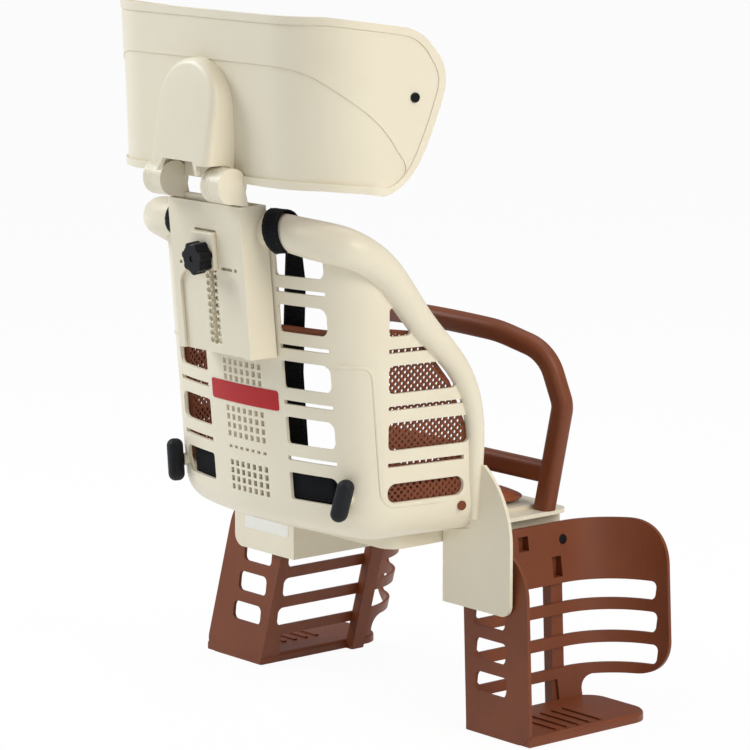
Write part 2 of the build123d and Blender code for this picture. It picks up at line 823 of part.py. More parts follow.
def make_guard():
    panel_rear = guard_y + guard_wall
    hub = (guard_x + guard_curve, guard_straight)
    a = radians(guard_turn)

    def arc_point(radius, angle):
        return hub[0] - radius * cos(angle), hub[1] + radius * sin(angle)

    inner, outer = guard_curve, guard_curve - guard_wall
    lines = [
        Line((guard_x, guard_y), (guard_x, guard_straight)),
        ThreePointArc((guard_x, guard_straight), arc_point(inner, a / 2), arc_point(inner, a)),
        Line(arc_point(inner, a), arc_point(outer, a)),
        ThreePointArc(arc_point(outer, a), arc_point(outer, a / 2), arc_point(outer, 0)),
        Line(arc_point(outer, 0), (guard_x + guard_wall, panel_rear)),
        Line((guard_x + guard_wall, panel_rear), (guard_x + guard_wall, guard_y)),
        Line((guard_x + guard_wall, guard_y), (guard_x, guard_y)),
    ]
    edge, front = arc_point(inner, a)
    panel = guard_prism(make_face(lines), guard_bottom, guard_top)
    side = polygon(
        [
            (-30, guard_top),
            (front, guard_top),
            (front, panel_low),
            (tongue[1], panel_low),
            (tongue[1], guard_bottom),
            (tongue[0], guard_bottom),
            (tongue[0], panel_low),
            (guard_y + 4, panel_low),
            (guard_y + 4, guard_bottom),
            (-30, guard_bottom),
        ]
    )
    side = fillet(side.vertices().sort_by_distance((tongue[1], panel_low, 0))[0], tongue_round)
    slant = tan(radians(splay))
    top_edge = (edge - guard_top * slant, guard_top)
    low_edge = (edge - panel_low * slant, panel_low)
    foot = guard_face(guard_bottom) + guard_wall + 1
    step = [(foot, panel_low), (foot, guard_bottom)]
    view = polygon([(0, guard_top), top_edge, low_edge, *step, (0, guard_bottom)])
    for spot, radius in zip((top_edge, low_edge), guard_rounds):
        view = fillet(view.vertices().sort_by_distance((*spot, 0))[0], radius)
    panel = panel & across(side, 0, 400) & along(view, 400, -100)
    middle, depth = (guard_x + guard_outer) / 2, guard_y + guard_wall / 2
    strip = Pos(middle, depth) * Rectangle(guard_outer - guard_x, guard_wall)
    rear = guard_prism(strip, guard_bottom, guard_top)
    top_edge = (guard_outer - guard_top * slant, guard_top)
    low_edge = (guard_outer - guard_bottom * slant, guard_bottom)
    view = polygon([(guard_x - 20, guard_top), top_edge, low_edge, (guard_x - 20, guard_bottom)])
    for spot, radius in zip((top_edge, low_edge), rear_rounds):
        view = fillet(view.vertices().sort_by_distance((*spot, 0))[0], radius)
    solid = panel + (rear & along(view, 100, -100))
    for low, high in guard_slots:
        shift = -(low + high) / 2 * slant
        wide, deep = corner_post
        end = band_x + shift
        cut = block(guard_x + wide + shift, end, -30, 2 * guard_y, low, high)
        solid -= fillet(cut.edges().filter_by(Axis.Y), guard_slot_round)
        start = guard_y + deep + high * tan(radians(guard_lean))
        cut = block(guard_x - 30, end, start, 300, low, high)
        cut = fillet(cut.edges().filter_by(Axis.Y).group_by(Axis.X)[-1], guard_slot_round)
        solid -= fillet(cut.edges().filter_by(Axis.X).group_by(Axis.Y)[0], guard_slot_round)
    plate_top = guard_bottom + plate_thick
    plate_in = guard_face(plate_top)
    plate_rear = guard_y + guard_bottom * tan(radians(guard_lean))
    plate = block(plate_in, plate_outer, plate_rear + 1, plate_front, guard_bottom, plate_top)
    plate = fillet(plate.edges().filter_by(Axis.Z).sort_by(Axis.Y)[-2:], plate_round)
    plate = fillet(plate.faces().sort_by(Axis.Z)[-1].edges().sort_by(Axis.X)[-1], 3.5)
    solid += plate
    long, wide, tall = ridge
    for i in range(ridge_count):
        y = ridge_first + i * ridge_pitch
        ends = plate_outer - long - 6, plate_outer - 6
        solid += block(*ends, y - wide / 2, y + wide / 2, plate_top - 1, plate_top + tall)
    post_face = block(guard_x - post_deep, guard_x + 0.5, *post, 0, 1).faces().sort_by(Axis.Z)[0]
    solid += guard_prism(post_face, guard_bottom, guard_slots[0][1] + 6)
    for y, z, wide, tall in latches:
        face, wide, tall = guard_face(z), wide / 2, tall / 2
        side, end = wide + latch_wall, tall + latch_wall
        solid += block(face - latch_deep - latch_wall, face + 1, y - side, y + side, z - end, z + end)
        solid -= block(face - latch_deep, face + 12, y - wide, y + wide, z - tall, z + tall)
    y, z = guard_screw
    solid -= bar(2.6, (guard_face(z) - 5, y, z), (guard_face(z) + 9, y, z))
    solid -= bar(5, (guard_face(z) + 1.6, y, z), (guard_face(z) + 9, y, z))
    return solid


def make_guard_screw():
    y, z = guard_screw
    seat = Vector(guard_face(z) + 1.6, y, z)
    return pan_screw(seat, Vector(-1, 0, 0), 4.6, 1.8, 2.4, 14)


def make_hoop():
    tangent = Vector(hoop_points[1]) - Vector(hoop_points[0])
    start = Vector(hoop_points[0]) - tangent * 0.2
    across_top = [flip(point) for point in hoop_points[-2:0:-1]]
    finish = Vector(-start.X, start.Y, start.Z)
    bends = hoop_bends + [hoop_top_bend] + hoop_bends[::-1]
    path = FilletPolyline(start, *hoop_points[1:], *across_top, finish, radius=bends)
    section = Plane(origin=start, x_dir=(0, 1, 0), z_dir=tangent) * RectangleRounded(*hoop_size, 7)
    solid = sweep(section, path=path)
    height, tall, thick = crossbar
    foot, knee = hoop_points[:2]
    reach = foot[0] + (height - foot[2]) * (knee[0] - foot[0]) / (knee[2] - foot[2])
    y = foot[1]
    rail = block(-reach, reach, y - thick / 2, y + thick / 2, height - tall / 2, height + tall / 2)
    rail = fillet(rail.edges().filter_by(Axis.X), 6)
    solid += rail
    return solid & block(-400, 400, -400, 400, floor_z, 600)


def make_cushion():
    low = floor_z + wall + fit
    solid = block(-cushion_half, cushion_half, cushion_rear, cushion_front, low, low + cushion_thick)
    solid = fillet(solid.edges().filter_by(Axis.Z), 22)
    solid = fillet(solid.faces().sort_by(Axis.Z)[-1].edges(), 6)
    for x in (bolt_x, -bolt_x):
        for y in (bolt_y, -bolt_y):
            solid -= Pos(x, y, low) * Cylinder(head_room, 16)
    return solid


def make_liner():
    """Panels inside both sides, joined by a bar across the back."""
    inset = wall + fit
    reach = 2 * side_x(0, inset)
    outer = leaned(plan_face(inset, shell_front + 40), floor_z, liner_high + 60)
    inner = leaned(plan_face(inset + liner_thick, shell_front + 60), floor_z - 5, liner_high + 70)
    outline = polygon(
        [
            (liner_rear, liner_low),
            (liner_front[0][0], liner_low),
            *liner_front,
            (liner_rear - 8, liner_high),
            (2 * back_y, liner_high),
            (2 * back_y, liner_high - liner_bar),
            (liner_rear - 12, liner_high - liner_bar),
        ]
    )
    outline = fillet(outline.vertices().filter_by(lambda v: v.X > 2 * back_y + 1), 8)
    sheet = (outer - inner) & across(outline, -reach, reach)
    thick_inner = leaned(plan_face(inset + liner_thick + 2, shell_front + 60), floor_z - 5, liner_high + 70)
    border = outline - offset(outline, -liner_edge)
    return sheet + ((outer - thick_inner) & across(border, -reach, reach))


def plug_place(side):
    """Seat of the plug screw on a side wall, and the inward direction."""
    y, z = plug_spot
    flare = radians(side_flare)
    inward = Vector(-side * cos(flare), sin(flare), sin(flare) * lean)
    return Vector(side * side_x(y + z * lean), y, z), inward


def ribbon(profile, plane, width, thick):
    """Flat strap: a line of places and normals drawn on a plane, as wide as the strap."""
    over = [(x + thick / 2 * nx, y + thick / 2 * ny) for x, y, nx, ny in profile]
    under = [(x - thick / 2 * nx, y - thick / 2 * ny) for x, y, nx, ny in profile]
    face = polygon(over + under[::-1])
    return extrude(plane.offset(-width / 2) * face, amount=width)


def make_strap():
    """Shoulder strap: over the rim, then slanting inward down the inside of the back."""
    z, radius = rim_path[1][2:]
    y = back_plan(strap_x) + wall / 2 - z * lean
    gap = radius + strap_gap + webbing / 2
    turned = asin(strap_x / back_radius)
    inward, sideways = (-sin(turned), cos(turned), 0), (cos(turned), sin(turned), 0)
    plane = Plane(origin=(strap_x, y, 0), x_dir=inward, z_dir=sideways)
    loop = []
    for turn in strap_turns:
        a = radians(turn)
        loop.append((gap * cos(a), z + gap * sin(a), cos(a), sin(a)))
    bend = z - 6
    loop.append((gap + (z - bend) * lean, bend, 1, lean))
    run = [(gap + (z - height) * lean, height, 1, lean) for height in (bend, strap_end)]
    half = strap_width / 2
    outline = polygon(
        [
            (strap_x - half, bend),
            (strap_x + half, bend),
            (strap_inner + half, strap_bend),
            (strap_inner + half, strap_end - 10),
            (strap_inner - half, strap_end - 10),
            (strap_inner - half, strap_bend),
        ]
    )
    slab = ribbon(run, plane, 8 * half, webbing) & along(outline, 0, 2 * back_y)
    return ribbon(loop, plane, strap_width, webbing) + slab


def make_belt():
    """Belt along the inside of the lower back."""
    inset = wall + fit
    outer = leaned(plan_face(inset, shell_front), belt_low, belt_high)
    inner = leaned(plan_face(inset + 2 * webbing, shell_front + 5), belt_low - 5, belt_high + 5)
    return (outer - inner) & block(-belt_half, belt_half, 2 * back_y, -70, 0, belt_high + 5)


def make_buckle():
    x, y = buckle_place
    wide, long, tall = buckle_size
    solid = block(x - wide / 2, x + wide / 2, y - long / 2, y + long / 2, strap_low, strap_low + tall)
    solid = fillet(solid.edges().filter_by(Axis.Z), 9)
    solid = fillet(solid.faces().sort_by(Axis.Z)[-1].edges(), 4)
    bw, bl, bt = button_size
    wide, long, top = bw / 2 + fit, bl / 2 + fit, strap_low + tall
    pocket = block(x - wide, x + wide, y - long, y + long, top - bt - button_travel, top + 1)
    return solid - pocket


def make_button():
    x, y = buckle_place
    bw, bl, bt = button_size
    top = strap_low + buckle_size[2]
    solid = block(x - bw / 2, x + bw / 2, y - bl / 2, y + bl / 2, top - bt + 1, top + 1)
    return fillet(solid.faces().sort_by(Axis.Z)[-1].edges(), 1.2)


def make_lap_strap(side):
    y = buckle_place[1]
    start = Vector(side * (cushion_half - 8), cushion_rear + 8, 0)
    finish = Vector(side * (buckle_size[0] / 2 - 2), y - 6, 0)
    run = finish - start
    plane = Plane(origin=start, x_dir=run, z_dir=Vector(0, 0, 1).cross(run) * -1)
    low = strap_low + webbing / 2
    profile = [(0, low, 0, 1), (run.length * 0.7, low, 0, 1), (run.length, low + 6, 0, 1)]
    wide, long = buckle_size[0] / 2 + fit, buckle_size[1] / 2 + fit
    buckle_room = block(-wide, wide, y - long, y + long, 0, floor_z + 100)
    return ribbon(profile, plane, lap_width, webbing) - buckle_room


def make_crotch_strap():
    x, y = buckle_place
    start, half = y + buckle_size[1] / 2 + fit, crotch_width / 2
    return block(x - half, x + half, start, cushion_front - 18, strap_low, strap_low + webbing)


def make_floor_screw(x, y):
    seat = Vector(x, y, floor_z + wall / 2)
    return pan_screw(seat, Vector(0, 0, -1), 4.4, wall / 2 - 0.2, 1.9, 10)


def named_parts():
    parts = {}
    parts["seat_shell"] = make_shell()
    parts["seat_base"] = make_base()
    parts["headrest_stay"] = make_stay()
    parts["clamp_block"] = make_block()
    parts["clamp_knob"] = make_knob()
    parts["knob_bolt"] = make_bolt()
    parts["knob_nut"] = make_nut()
    parts["headrest_shell"] = make_headrest()
    parts["headrest_pad"] = make_head_pad()
    for name, centre in (("right", arm_place), ("left", -arm_place)):
        spans = leaf_spans(centre)
        parts[f"hinge_pin_{name}"] = barrel(spans[0][0], spans[3][1] - pin_cover - fit, pin_radius)
    seat, inward = wing_screw(1)
    parts["headrest_screws"] = pair(pan_screw(seat, inward, 4.5, 2.2, 2.0, head_wall - fit / 2))
    parts["leg_guard_right"] = make_guard()
    parts["leg_guard_left"] = mirror(make_guard(), about=Plane.YZ)
    parts["guard_screws"] = pair(make_guard_screw())
    parts["hand_grip"] = make_hoop()
    parts["seat_cushion"] = make_cushion()
    parts["seat_liner"] = make_liner()
    for name, side in (("right", 1), ("left", -1)):
        parts[f"rear_bumper_{name}"] = make_bumper(side)
        parts[f"lap_strap_{name}"] = make_lap_strap(side)
    parts["shoulder_strap_right"] = make_strap()
    parts["shoulder_strap_left"] = mirror(make_strap(), about=Plane.YZ)
    parts["waist_belt"] = make_belt()
    parts["crotch_strap"] = make_crotch_strap()
    parts["buckle_body"] = make_buckle()
    parts["buckle_button"] = make_button()
    seat, inward = plug_place(1)
    parts["side_screws"] = pair(pan_screw(seat, inward, 4.5, 2.0, 2.0, wall - fit))
    parts["floor_screws"] = Compound(children=[make_floor_screw(x, y) for x, y in floor_screws])
    return parts


if __name__ == "__main__":
    os.makedirs("parts", exist_ok=True)
    for name, solid in named_parts().items():
        export_step(solid, f"parts/{name}.step")
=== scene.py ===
import math

import bmesh
import bpy
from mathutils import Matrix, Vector
from mathutils.bvhtree import BVHTree


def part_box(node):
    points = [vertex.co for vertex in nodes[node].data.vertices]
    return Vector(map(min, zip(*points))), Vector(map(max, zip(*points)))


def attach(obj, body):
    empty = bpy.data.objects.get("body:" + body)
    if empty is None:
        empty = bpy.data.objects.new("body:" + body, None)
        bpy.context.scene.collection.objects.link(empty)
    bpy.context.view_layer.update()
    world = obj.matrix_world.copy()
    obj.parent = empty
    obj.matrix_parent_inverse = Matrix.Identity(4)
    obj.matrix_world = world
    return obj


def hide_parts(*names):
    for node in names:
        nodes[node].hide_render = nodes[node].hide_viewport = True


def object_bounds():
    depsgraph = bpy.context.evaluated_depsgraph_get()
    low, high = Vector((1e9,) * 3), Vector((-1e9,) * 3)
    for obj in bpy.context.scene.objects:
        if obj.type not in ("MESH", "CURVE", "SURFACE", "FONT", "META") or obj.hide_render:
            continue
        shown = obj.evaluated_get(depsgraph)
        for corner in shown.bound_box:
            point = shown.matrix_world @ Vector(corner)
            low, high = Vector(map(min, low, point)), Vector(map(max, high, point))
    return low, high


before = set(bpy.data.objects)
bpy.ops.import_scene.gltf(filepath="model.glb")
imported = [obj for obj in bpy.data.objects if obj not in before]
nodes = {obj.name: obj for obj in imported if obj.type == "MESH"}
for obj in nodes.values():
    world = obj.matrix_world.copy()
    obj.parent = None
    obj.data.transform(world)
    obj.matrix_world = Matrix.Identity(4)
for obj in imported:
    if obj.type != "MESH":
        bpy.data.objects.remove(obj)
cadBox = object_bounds()
print("frame loaded:", len(nodes), "nodes")


def mm(*values):
    return Vector([v / 1000 for v in values])


def tint(code):
    # screen colour to linear
    parts = [int(code[i:i + 2], 16) / 255 for i in (1, 3, 5)]
    return tuple(v / 12.92 if v <= 0.04045 else ((v + 0.055) / 1.055) ** 2.4 for v in parts) + (1.0,)


class Wire:
    # a socket that takes part in sums, and the one way to add nodes

    def __init__(self, tree, socket=None):
        self.tree = tree
        self.socket = socket

    def add(self, kind, settings=None, sockets=None, out=0):
        node = self.tree.nodes.new(kind)
        for name, value in (settings or {}).items():
            setattr(node, name, value)
        for name, value in (sockets or {}).items():
            self.join(value, node.inputs[name])
        return Wire(self.tree, node.outputs[out])

    def join(self, value, target):
        if isinstance(value, Wire):
            self.tree.links.new(value.socket, target)
        else:
            target.default_value = value

    def sum(self, operation, a, b):
        return self.add("ShaderNodeMath", {"operation": operation}, {0: a, 1: b})

    def __add__(self, other):
        return self.sum("ADD", self, other)

    def __radd__(self, other):
        return self.sum("ADD", other, self)

    def __sub__(self, other):
        return self.sum("SUBTRACT", self, other)

    def __rsub__(self, other):
        return self.sum("SUBTRACT", other, self)

    def __mul__(self, other):
        return self.sum("MULTIPLY", self, other)

    def __rmul__(self, other):
        return self.sum("MULTIPLY", other, self)

    def blend(self, a, b):
        mix = {"data_type": "RGBA"}
        return self.add("ShaderNodeMix", mix, {0: self, 6: a, 7: b}, 2)


def newFinish(name):
    material = bpy.data.materials.new(name)
    material.use_nodes = True
    tree = material.node_tree
    shader = tree.nodes["Principled BSDF"]
    wire = Wire(tree)
    place = wire.add("ShaderNodeTexCoord", out="Object")
    return material, shader, wire, place


def bumped(wire, shader, height, strength, distance):
    values = {"Strength": strength, "Distance": distance, "Height": height}
    wire.join(wire.add("ShaderNodeBump", None, values, "Normal"), shader.inputs["Normal"])


def noise(wire, place, scale, detail=2.0, rough=0.5):
    values = {"Vector": place, "Scale": scale, "Detail": detail, "Roughness": rough}
    return wire.add("ShaderNodeTexNoise", None, values, "Fac")


def cells(wire, place, feature, scale):
    values = {"Vector": place, "Scale": scale}
    return wire.add("ShaderNodeTexVoronoi", {"feature": feature}, values, "Distance")


def paint(wire, shader, look, mask, roughness):
    # two colours by a mask, and an even gloss
    wire.join(mask.blend(tint(look["base"]), tint(look["fleck"])), shader.inputs["Base Color"])
    wire.join(roughness, shader.inputs["Roughness"])
    if "gloss" in look:
        shader.inputs["Specular IOR Level"].default_value = look["gloss"]


creamLook = {"base": "#ece4cf", "fleck": "#e3d9c1", "gloss": 0.4, "roughness": 0.24, "grain": 1500.0,
             "clouds": 14.0, "flow": 90.0, "bump": (0.10, 0.0004)}


def makeCream():
    look = creamLook
    material, shader, wire, place = newFinish("creamPlastic")
    grain = noise(wire, place, look["grain"], 3.0)
    clouds = noise(wire, place, look["clouds"], 3.0)
    flow = noise(wire, place, look["flow"])
    roughness = grain * 0.16 + clouds * 0.08 + look["roughness"]
    paint(wire, shader, look, clouds * 0.75 + flow * 0.15, roughness)
    bumped(wire, shader, grain, *look["bump"])
    return material


brownLook = {"base": "#834628", "fleck": "#67331c", "gloss": 0.32, "roughness": 0.34, "pebble": 900.0,
             "clouds": 22.0, "scuff": 160.0, "bump": (0.16, 0.0005)}


def makeBrown():
    look = brownLook
    material, shader, wire, place = newFinish("brownPlastic")
    pebble = cells(wire, place, "SMOOTH_F1", look["pebble"])
    clouds = noise(wire, place, look["clouds"], 3.0)
    scuff = noise(wire, place, look["scuff"], 4.0, 0.6)
    paint(wire, shader, look, clouds * 0.8, scuff * 0.18 + look["roughness"])
    bumped(wire, shader, pebble, *look["bump"])
    return material


# the fleck colour is both a random darker tone and the painted shade in the grain creases
hideLook = {"base": "#a3552c", "fleck": "#7e3a1c", "roughness": 0.36, "cells": 420.0, "creaseWidth": 0.12,
            "folds": 46.0, "clouds": 9.0, "bump": (0.3, 0.0008)}


def makeHide():
    look = hideLook
    material, shader, wire, place = newFinish("cushionCover")
    folds = noise(wire, place, look["folds"], 4.0, 0.55)
    clouds = noise(wire, place, look["clouds"])
    values = {"Value": cells(wire, place, "DISTANCE_TO_EDGE", look["cells"]),
              "From Max": look["creaseWidth"], "To Min": 1.0, "To Max": 0.0}
    crease = wire.add("ShaderNodeMapRange", None, values, "Result")
    roughness = crease * 0.2 + folds * 0.1 + look["roughness"]
    # colour: random cloudy tone, plus painted shade that darkens the grain creases
    paint(wire, shader, look, clouds * 0.6 + crease * 0.35, roughness)
    bumped(wire, shader, folds * 0.9 - crease * 0.35, *look["bump"])
    return material


rubberLook = {"base": "#0d0f13", "fleck": "#1b1e23", "gloss": 0.3, "roughness": 0.42, "bloom": 60.0,
              "grain": 2200.0, "bump": (0.2, 0.0003)}


def makeRubber():
    look = rubberLook
    material, shader, wire, place = newFinish("blackRubber")
    bloom = noise(wire, place, look["bloom"], 3.0)
    grain = noise(wire, place, look["grain"])
    paint(wire, shader, look, bloom, bloom * 0.2 + grain * 0.1 + look["roughness"])
    bumped(wire, shader, grain, *look["bump"])
    return material


blackLook = {"base": "#05070a", "fleck": "#0e1116", "gloss": 0.18, "roughness": 0.22, "clouds": 40.0,
             "grain": 1800.0, "bump": (0.15, 0.0003)}


def makeBlackPlastic():
    look = blackLook
    material, shader, wire, place = newFinish("blackPlastic")
    grain = noise(wire, place, look["grain"])
    clouds = noise(wire, place, look["clouds"])
    paint(wire, shader, look, clouds, grain * 0.2 + look["roughness"])
    bumped(wire, shader, grain, *look["bump"])
    return material


steelLook = {"base": "#c9c9cc", "fleck": "#8f9094", "roughness": 0.2, "brushed": 700.0}


def makeSteel():
    look = steelLook
    material, shader, wire, place = newFinish("platedSteel")
    shader.inputs["Metallic"].default_value = 1.0
    brushed = noise(wire, place, look["brushed"], 3.0)
    paint(wire, shader, look, brushed, brushed * 0.25 + look["roughness"])
    return material


redLook = {"gloss": 0.3, "roughness": 0.3, "clouds": 120.0, "deep": 0.85}


def makeRed(name, code):
    look = redLook
    material, shader, wire, place = newFinish(name)
    clouds = noise(wire, place, look["clouds"], 3.0)
    deep = tuple(v * look["deep"] for v in tint(code)[:3]) + (1.0,)
    wire.join((clouds * 0.6).blend(tint(code), deep), shader.inputs["Base Color"])
    wire.join(clouds * 0.1 + look["roughness"], shader.inputs["Roughness"])
    shader.inputs["Specular IOR Level"].default_value = look["gloss"]
    return material


webbingLook = {"base": "#07080a", "fleck": "#17191d", "gloss": 0.15, "roughness": 0.7, "fuzz": 900.0,
               "ribs": {"Scale": 95.0, "Distortion": 0.6, "Detail": 1.0},
               "cords": {"Scale": 130.0, "Distortion": 0.4}, "bump": (0.5, 0.0006)}


def makeWebbing():
    # ribs across the strap and cords along it, from the strap's own map in metres
    look = webbingLook
    material, shader, wire, place = newFinish("blackWebbing")
    chart = wire.add("ShaderNodeUVMap", {"uv_map": "strapMap"}, None, "UV")
    waves = {}
    for name, direction in (("ribs", "Y"), ("cords", "X")):
        settings = {"bands_direction": direction, "wave_profile": "SIN"}
        waves[name] = wire.add("ShaderNodeTexWave", settings, {"Vector": chart, **look[name]}, "Fac")
    fuzz = noise(wire, place, look["fuzz"], 3.0)
    weave = waves["ribs"] * 0.65 + waves["cords"] * 0.35
    paint(wire, shader, look, weave * 0.7 + fuzz * 0.3, fuzz * 0.15 + look["roughness"])
    bumped(wire, shader, weave, *look["bump"])
    return material


threadLook = {"roughness": 0.55, "twist": 2600.0}


def makeThread(name, dark, light):
    material, shader, wire, place = newFinish(name)
    twist = noise(wire, place, threadLook["twist"])
    paint(wire, shader, {"base": dark, "fleck": light}, twist, twist * 0.2 + threadLook["roughness"])
    return material


labelLook = {"base": "#f2f0ea", "fleck": "#e6e3da", "roughness": 0.4, "fibre": 300.0}


def makeLabel():
    look = labelLook
    material, shader, wire, place = newFinish("paleLabel")
    fibre = noise(wire, place, look["fibre"], 3.0)
    paint(wire, shader, look, fibre, fibre * 0.15 + look["roughness"])
    return material


finishes = {
    "cream": makeCream(),
    "brown": makeBrown(),
    "hide": makeHide(),
    "rubber": makeRubber(),
    "black": makeBlackPlastic(),
    "steel": makeSteel(),
    "red": makeRed("redPlastic", "#b3161b"),
    "webbing": makeWebbing(),
    "thread": makeThread("blackThread", "#101216", "#24262c"),
    "seam": makeThread("brownThread", "#6a3216", "#8f5230"),
    "badge": makeRed("badgeRed", "#b50c15"),
    "label": makeLabel(),
}
print("finishes made:", len(finishes))

# every other node is steel
nodeFinish = {
    "cream": ["seat_shell", "seat_base", "headrest_shell", "headrest_stay", "clamp_block"],
    "brown": ["leg_guard_left", "leg_guard_right", "hand_grip", "seat_liner", "side_screws"],
    "hide": ["seat_cushion", "headrest_pad"],
    "rubber": ["rear_bumper_left", "rear_bumper_right"],
    "black": ["clamp_knob", "knob_bolt", "buckle_body", "headrest_screws", "guard_screws"],
    "red": ["buckle_button"],
    "webbing": ["shoulder_strap_left", "shoulder_strap_right", "lap_strap_left", "lap_strap_right",
                "waist_belt", "crotch_strap"],
}
for name, obj in nodes.items():
    look = next((f for f, members in nodeFinish.items() if name in members), "steel")
    obj.data.materials.clear()
    obj.data.materials.append(finishes[look])
print("CAD nodes painted")


def newPiece(name, mesh, body, finish, stands=()):
    obj = bpy.data.objects.new(name, mesh)
    bpy.context.scene.collection.objects.link(obj)
    mesh.materials.clear()
    mesh.materials.append(finishes[finish])
    if stands:
        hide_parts(*stands)
    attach(obj, body)
    return obj


def meshFrom(name, bm, soft=True):
    bmesh.ops.recalc_face_normals(bm, faces=bm.faces)
    mesh = bpy.data.meshes.new(name)
    bm.to_mesh(mesh)
    bm.free()
    for face in mesh.polygons:
        face.use_smooth = soft
    return mesh


def plain(obj):
    # the modifiers' result as a plain mesh
    graph = bpy.context.evaluated_depsgraph_get()
    return bpy.data.meshes.new_from_object(obj.evaluated_get(graph))


def dropObject(obj):
    bpy.data.objects.remove(obj, do_unlink=True)


def smoothPath(points, steps):
    # curve through every point, held at both ends
    points = [Vector(p) for p in points]
    ends = [points[0] * 2 - points[1]] + points + [points[-1] * 2 - points[-2]]
    path = []
    for a, b, c, d in zip(ends, ends[1:], ends[2:], ends[3:]):
        for i in range(steps):
            t = i / steps
            path.append(0.5 * (2 * b + (c - a) * t + (2 * a - 5 * b + 4 * c - d) * t * t
                               + (3 * b - a - 3 * c + d) * t ** 3))
    return path + [points[-1]]


def allOf(bm):
    return bm.verts[:] + bm.edges[:] + bm.faces[:]


def bridge(bm, rings, closed):
    # faces between each ring of points and the next
    for near, far in zip(rings, rings[1:] + rings[:1] if closed else rings[1:]):
        for j in range(len(near)):
            k = (j + 1) % len(near)
            bm.faces.new((near[j], near[k], far[k], far[j]))


def raiseFaces(bm, faces, height):
    # walls up from the faces to a height
    raised = bmesh.ops.extrude_face_region(bm, geom=faces)
    for vert in [v for v in raised["geom"] if isinstance(v, bmesh.types.BMVert)]:
        vert.co.z = height


def strapFrame(path, sides, i):
    # directions across a strap and out of it at one point
    ahead = path[min(i + 1, len(path) - 1)] - path[max(i - 1, 0)]
    side = (sides[i] - ahead * (sides[i].dot(ahead) / ahead.length_squared)).normalized()
    return side, side.cross(ahead).normalized()


def ribbon(path, sides, widths, thick, edge=0.35, core=0.4):
    # closed flat strap with rounded edges, mapped in metres across and along
    deep, lip = thick / 2, thick * edge
    profiles = []
    for half in [width / 2 for width in widths]:
        inner, mid = half - lip, half * core
        profiles.append([(-half, 0), (-inner, deep), (-mid, deep), (mid, deep), (inner, deep),
                         (half, 0), (inner, -deep), (mid, -deep), (-mid, -deep), (-inner, -deep)])
    bm = bmesh.new()
    chart = bm.loops.layers.uv.new("strapMap")
    rings, lengths, run = [], [], 0.0
    for i, place in enumerate(path):
        side, out = strapFrame(path, sides, i)
        run += (place - path[i - 1]).length if i else 0.0
        lengths.append(run)
        rings.append([bm.verts.new(place + side * a + out * b) for a, b in profiles[i]])
    count = len(profiles[0])
    for i in range(len(rings) - 1):
        for j in range(count):
            k = (j + 1) % count
            face = bm.faces.new((rings[i][j], rings[i][k], rings[i + 1][k], rings[i + 1][j]))
            spots = ((j, i), (k, i), (k, i + 1), (j, i + 1))
            for loop, (row, ring) in zip(face.loops, spots):
                loop[chart].uv = (profiles[ring][row][0], lengths[ring])
    for end in (0, -1):
        face = bm.faces.new(rings[end])
        for loop, spot in zip(face.loops, profiles[end]):
            loop[chart].uv = spot
    return bm


def sweepLine(path, sides, across, lift):
    # line that follows a strap, so far across it and above it at each point
    line = []
    for i, place in enumerate(path):
        side, out = strapFrame(path, sides, i)
        line.append(place + side * across[i] + out * lift)
    return line


def edgeLines(path, sides, widths, thick, faces):
    # sewing lines near both edges of a strap, on the faces given
    inset = strapLook["threadInset"] / 1000
    lines = []
    for face in faces:
        for hand in (1, -1):
            across = [hand * (width / 2 - inset) for width in widths]
            lines.append(sweepLine(path, sides, across, face * thick * 0.5))
    return lines


def flipped(points):
    return [Vector((-p.x, p.y, p.z)) for p in points]


def newTree(name, source, inputs):
    # tree with one geometry input, other named inputs and a geometry output
    tree = bpy.data.node_groups.new(name, "GeometryNodeTree")
    sockets = tree.interface
    sockets.new_socket(source, in_out="INPUT", socket_type="NodeSocketGeometry")
    keys = {}
    for label, kind in inputs.items():
        keys[label] = sockets.new_socket(label, in_out="INPUT", socket_type="NodeSocket" + kind).identifier
    sockets.new_socket("Geometry", in_out="OUTPUT", socket_type="NodeSocketGeometry")
    given = tree.nodes.new("NodeGroupInput")
    return Wire(tree), keys, lambda label: Wire(tree, given.outputs[label])


def endTree(wire, solid, finish):
    done = wire.add("GeometryNodeSetMaterial", None, {"Geometry": solid, "Material": finish})
    wire.join(done, wire.tree.nodes.new("NodeGroupOutput").inputs["Geometry"])


def stitchTree():
    # short threads laid along every edge of the given lines
    inputs = {"Pitch": "Float", "Thread Length": "Float", "Thread Radius": "Float", "Finish": "Material"}
    wire, keys, pick = newTree("stitchRow", "Lines", inputs)
    curve = wire.add("GeometryNodeMeshToCurve", None, {"Mesh": pick("Lines")})
    points = wire.add("GeometryNodeCurveToPoints", {"mode": "LENGTH"},
                      {"Curve": curve, "Length": pick("Pitch")})
    turn = Wire(wire.tree, points.socket.node.outputs["Rotation"])
    thread = wire.add("GeometryNodeMeshUVSphere", None, {"Segments": 6, "Rings": 4, "Radius": 1.0})
    size = wire.add("ShaderNodeCombineXYZ", None,
                    {0: pick("Thread Radius"), 1: pick("Thread Radius"), 2: pick("Thread Length") * 0.5})
    laid = wire.add("GeometryNodeInstanceOnPoints", None,
                    {"Points": points, "Instance": thread, "Rotation": turn, "Scale": size})
    endTree(wire, wire.add("GeometryNodeRealizeInstances", None, {"Geometry": laid}), pick("Finish"))
    return wire.tree, keys


def runTree(name, mesh, tree, keys, values):
    # the tree's result as a plain mesh
    obj = bpy.data.objects.new(name, mesh)
    bpy.context.scene.collection.objects.link(obj)
    made = obj.modifiers.new(name, "NODES")
    made.node_group = tree
    for key, value in values.items():
        made[keys[key]] = value
    result = plain(obj)
    dropObject(obj)
    return result


stitches, stitchKeys = stitchTree()


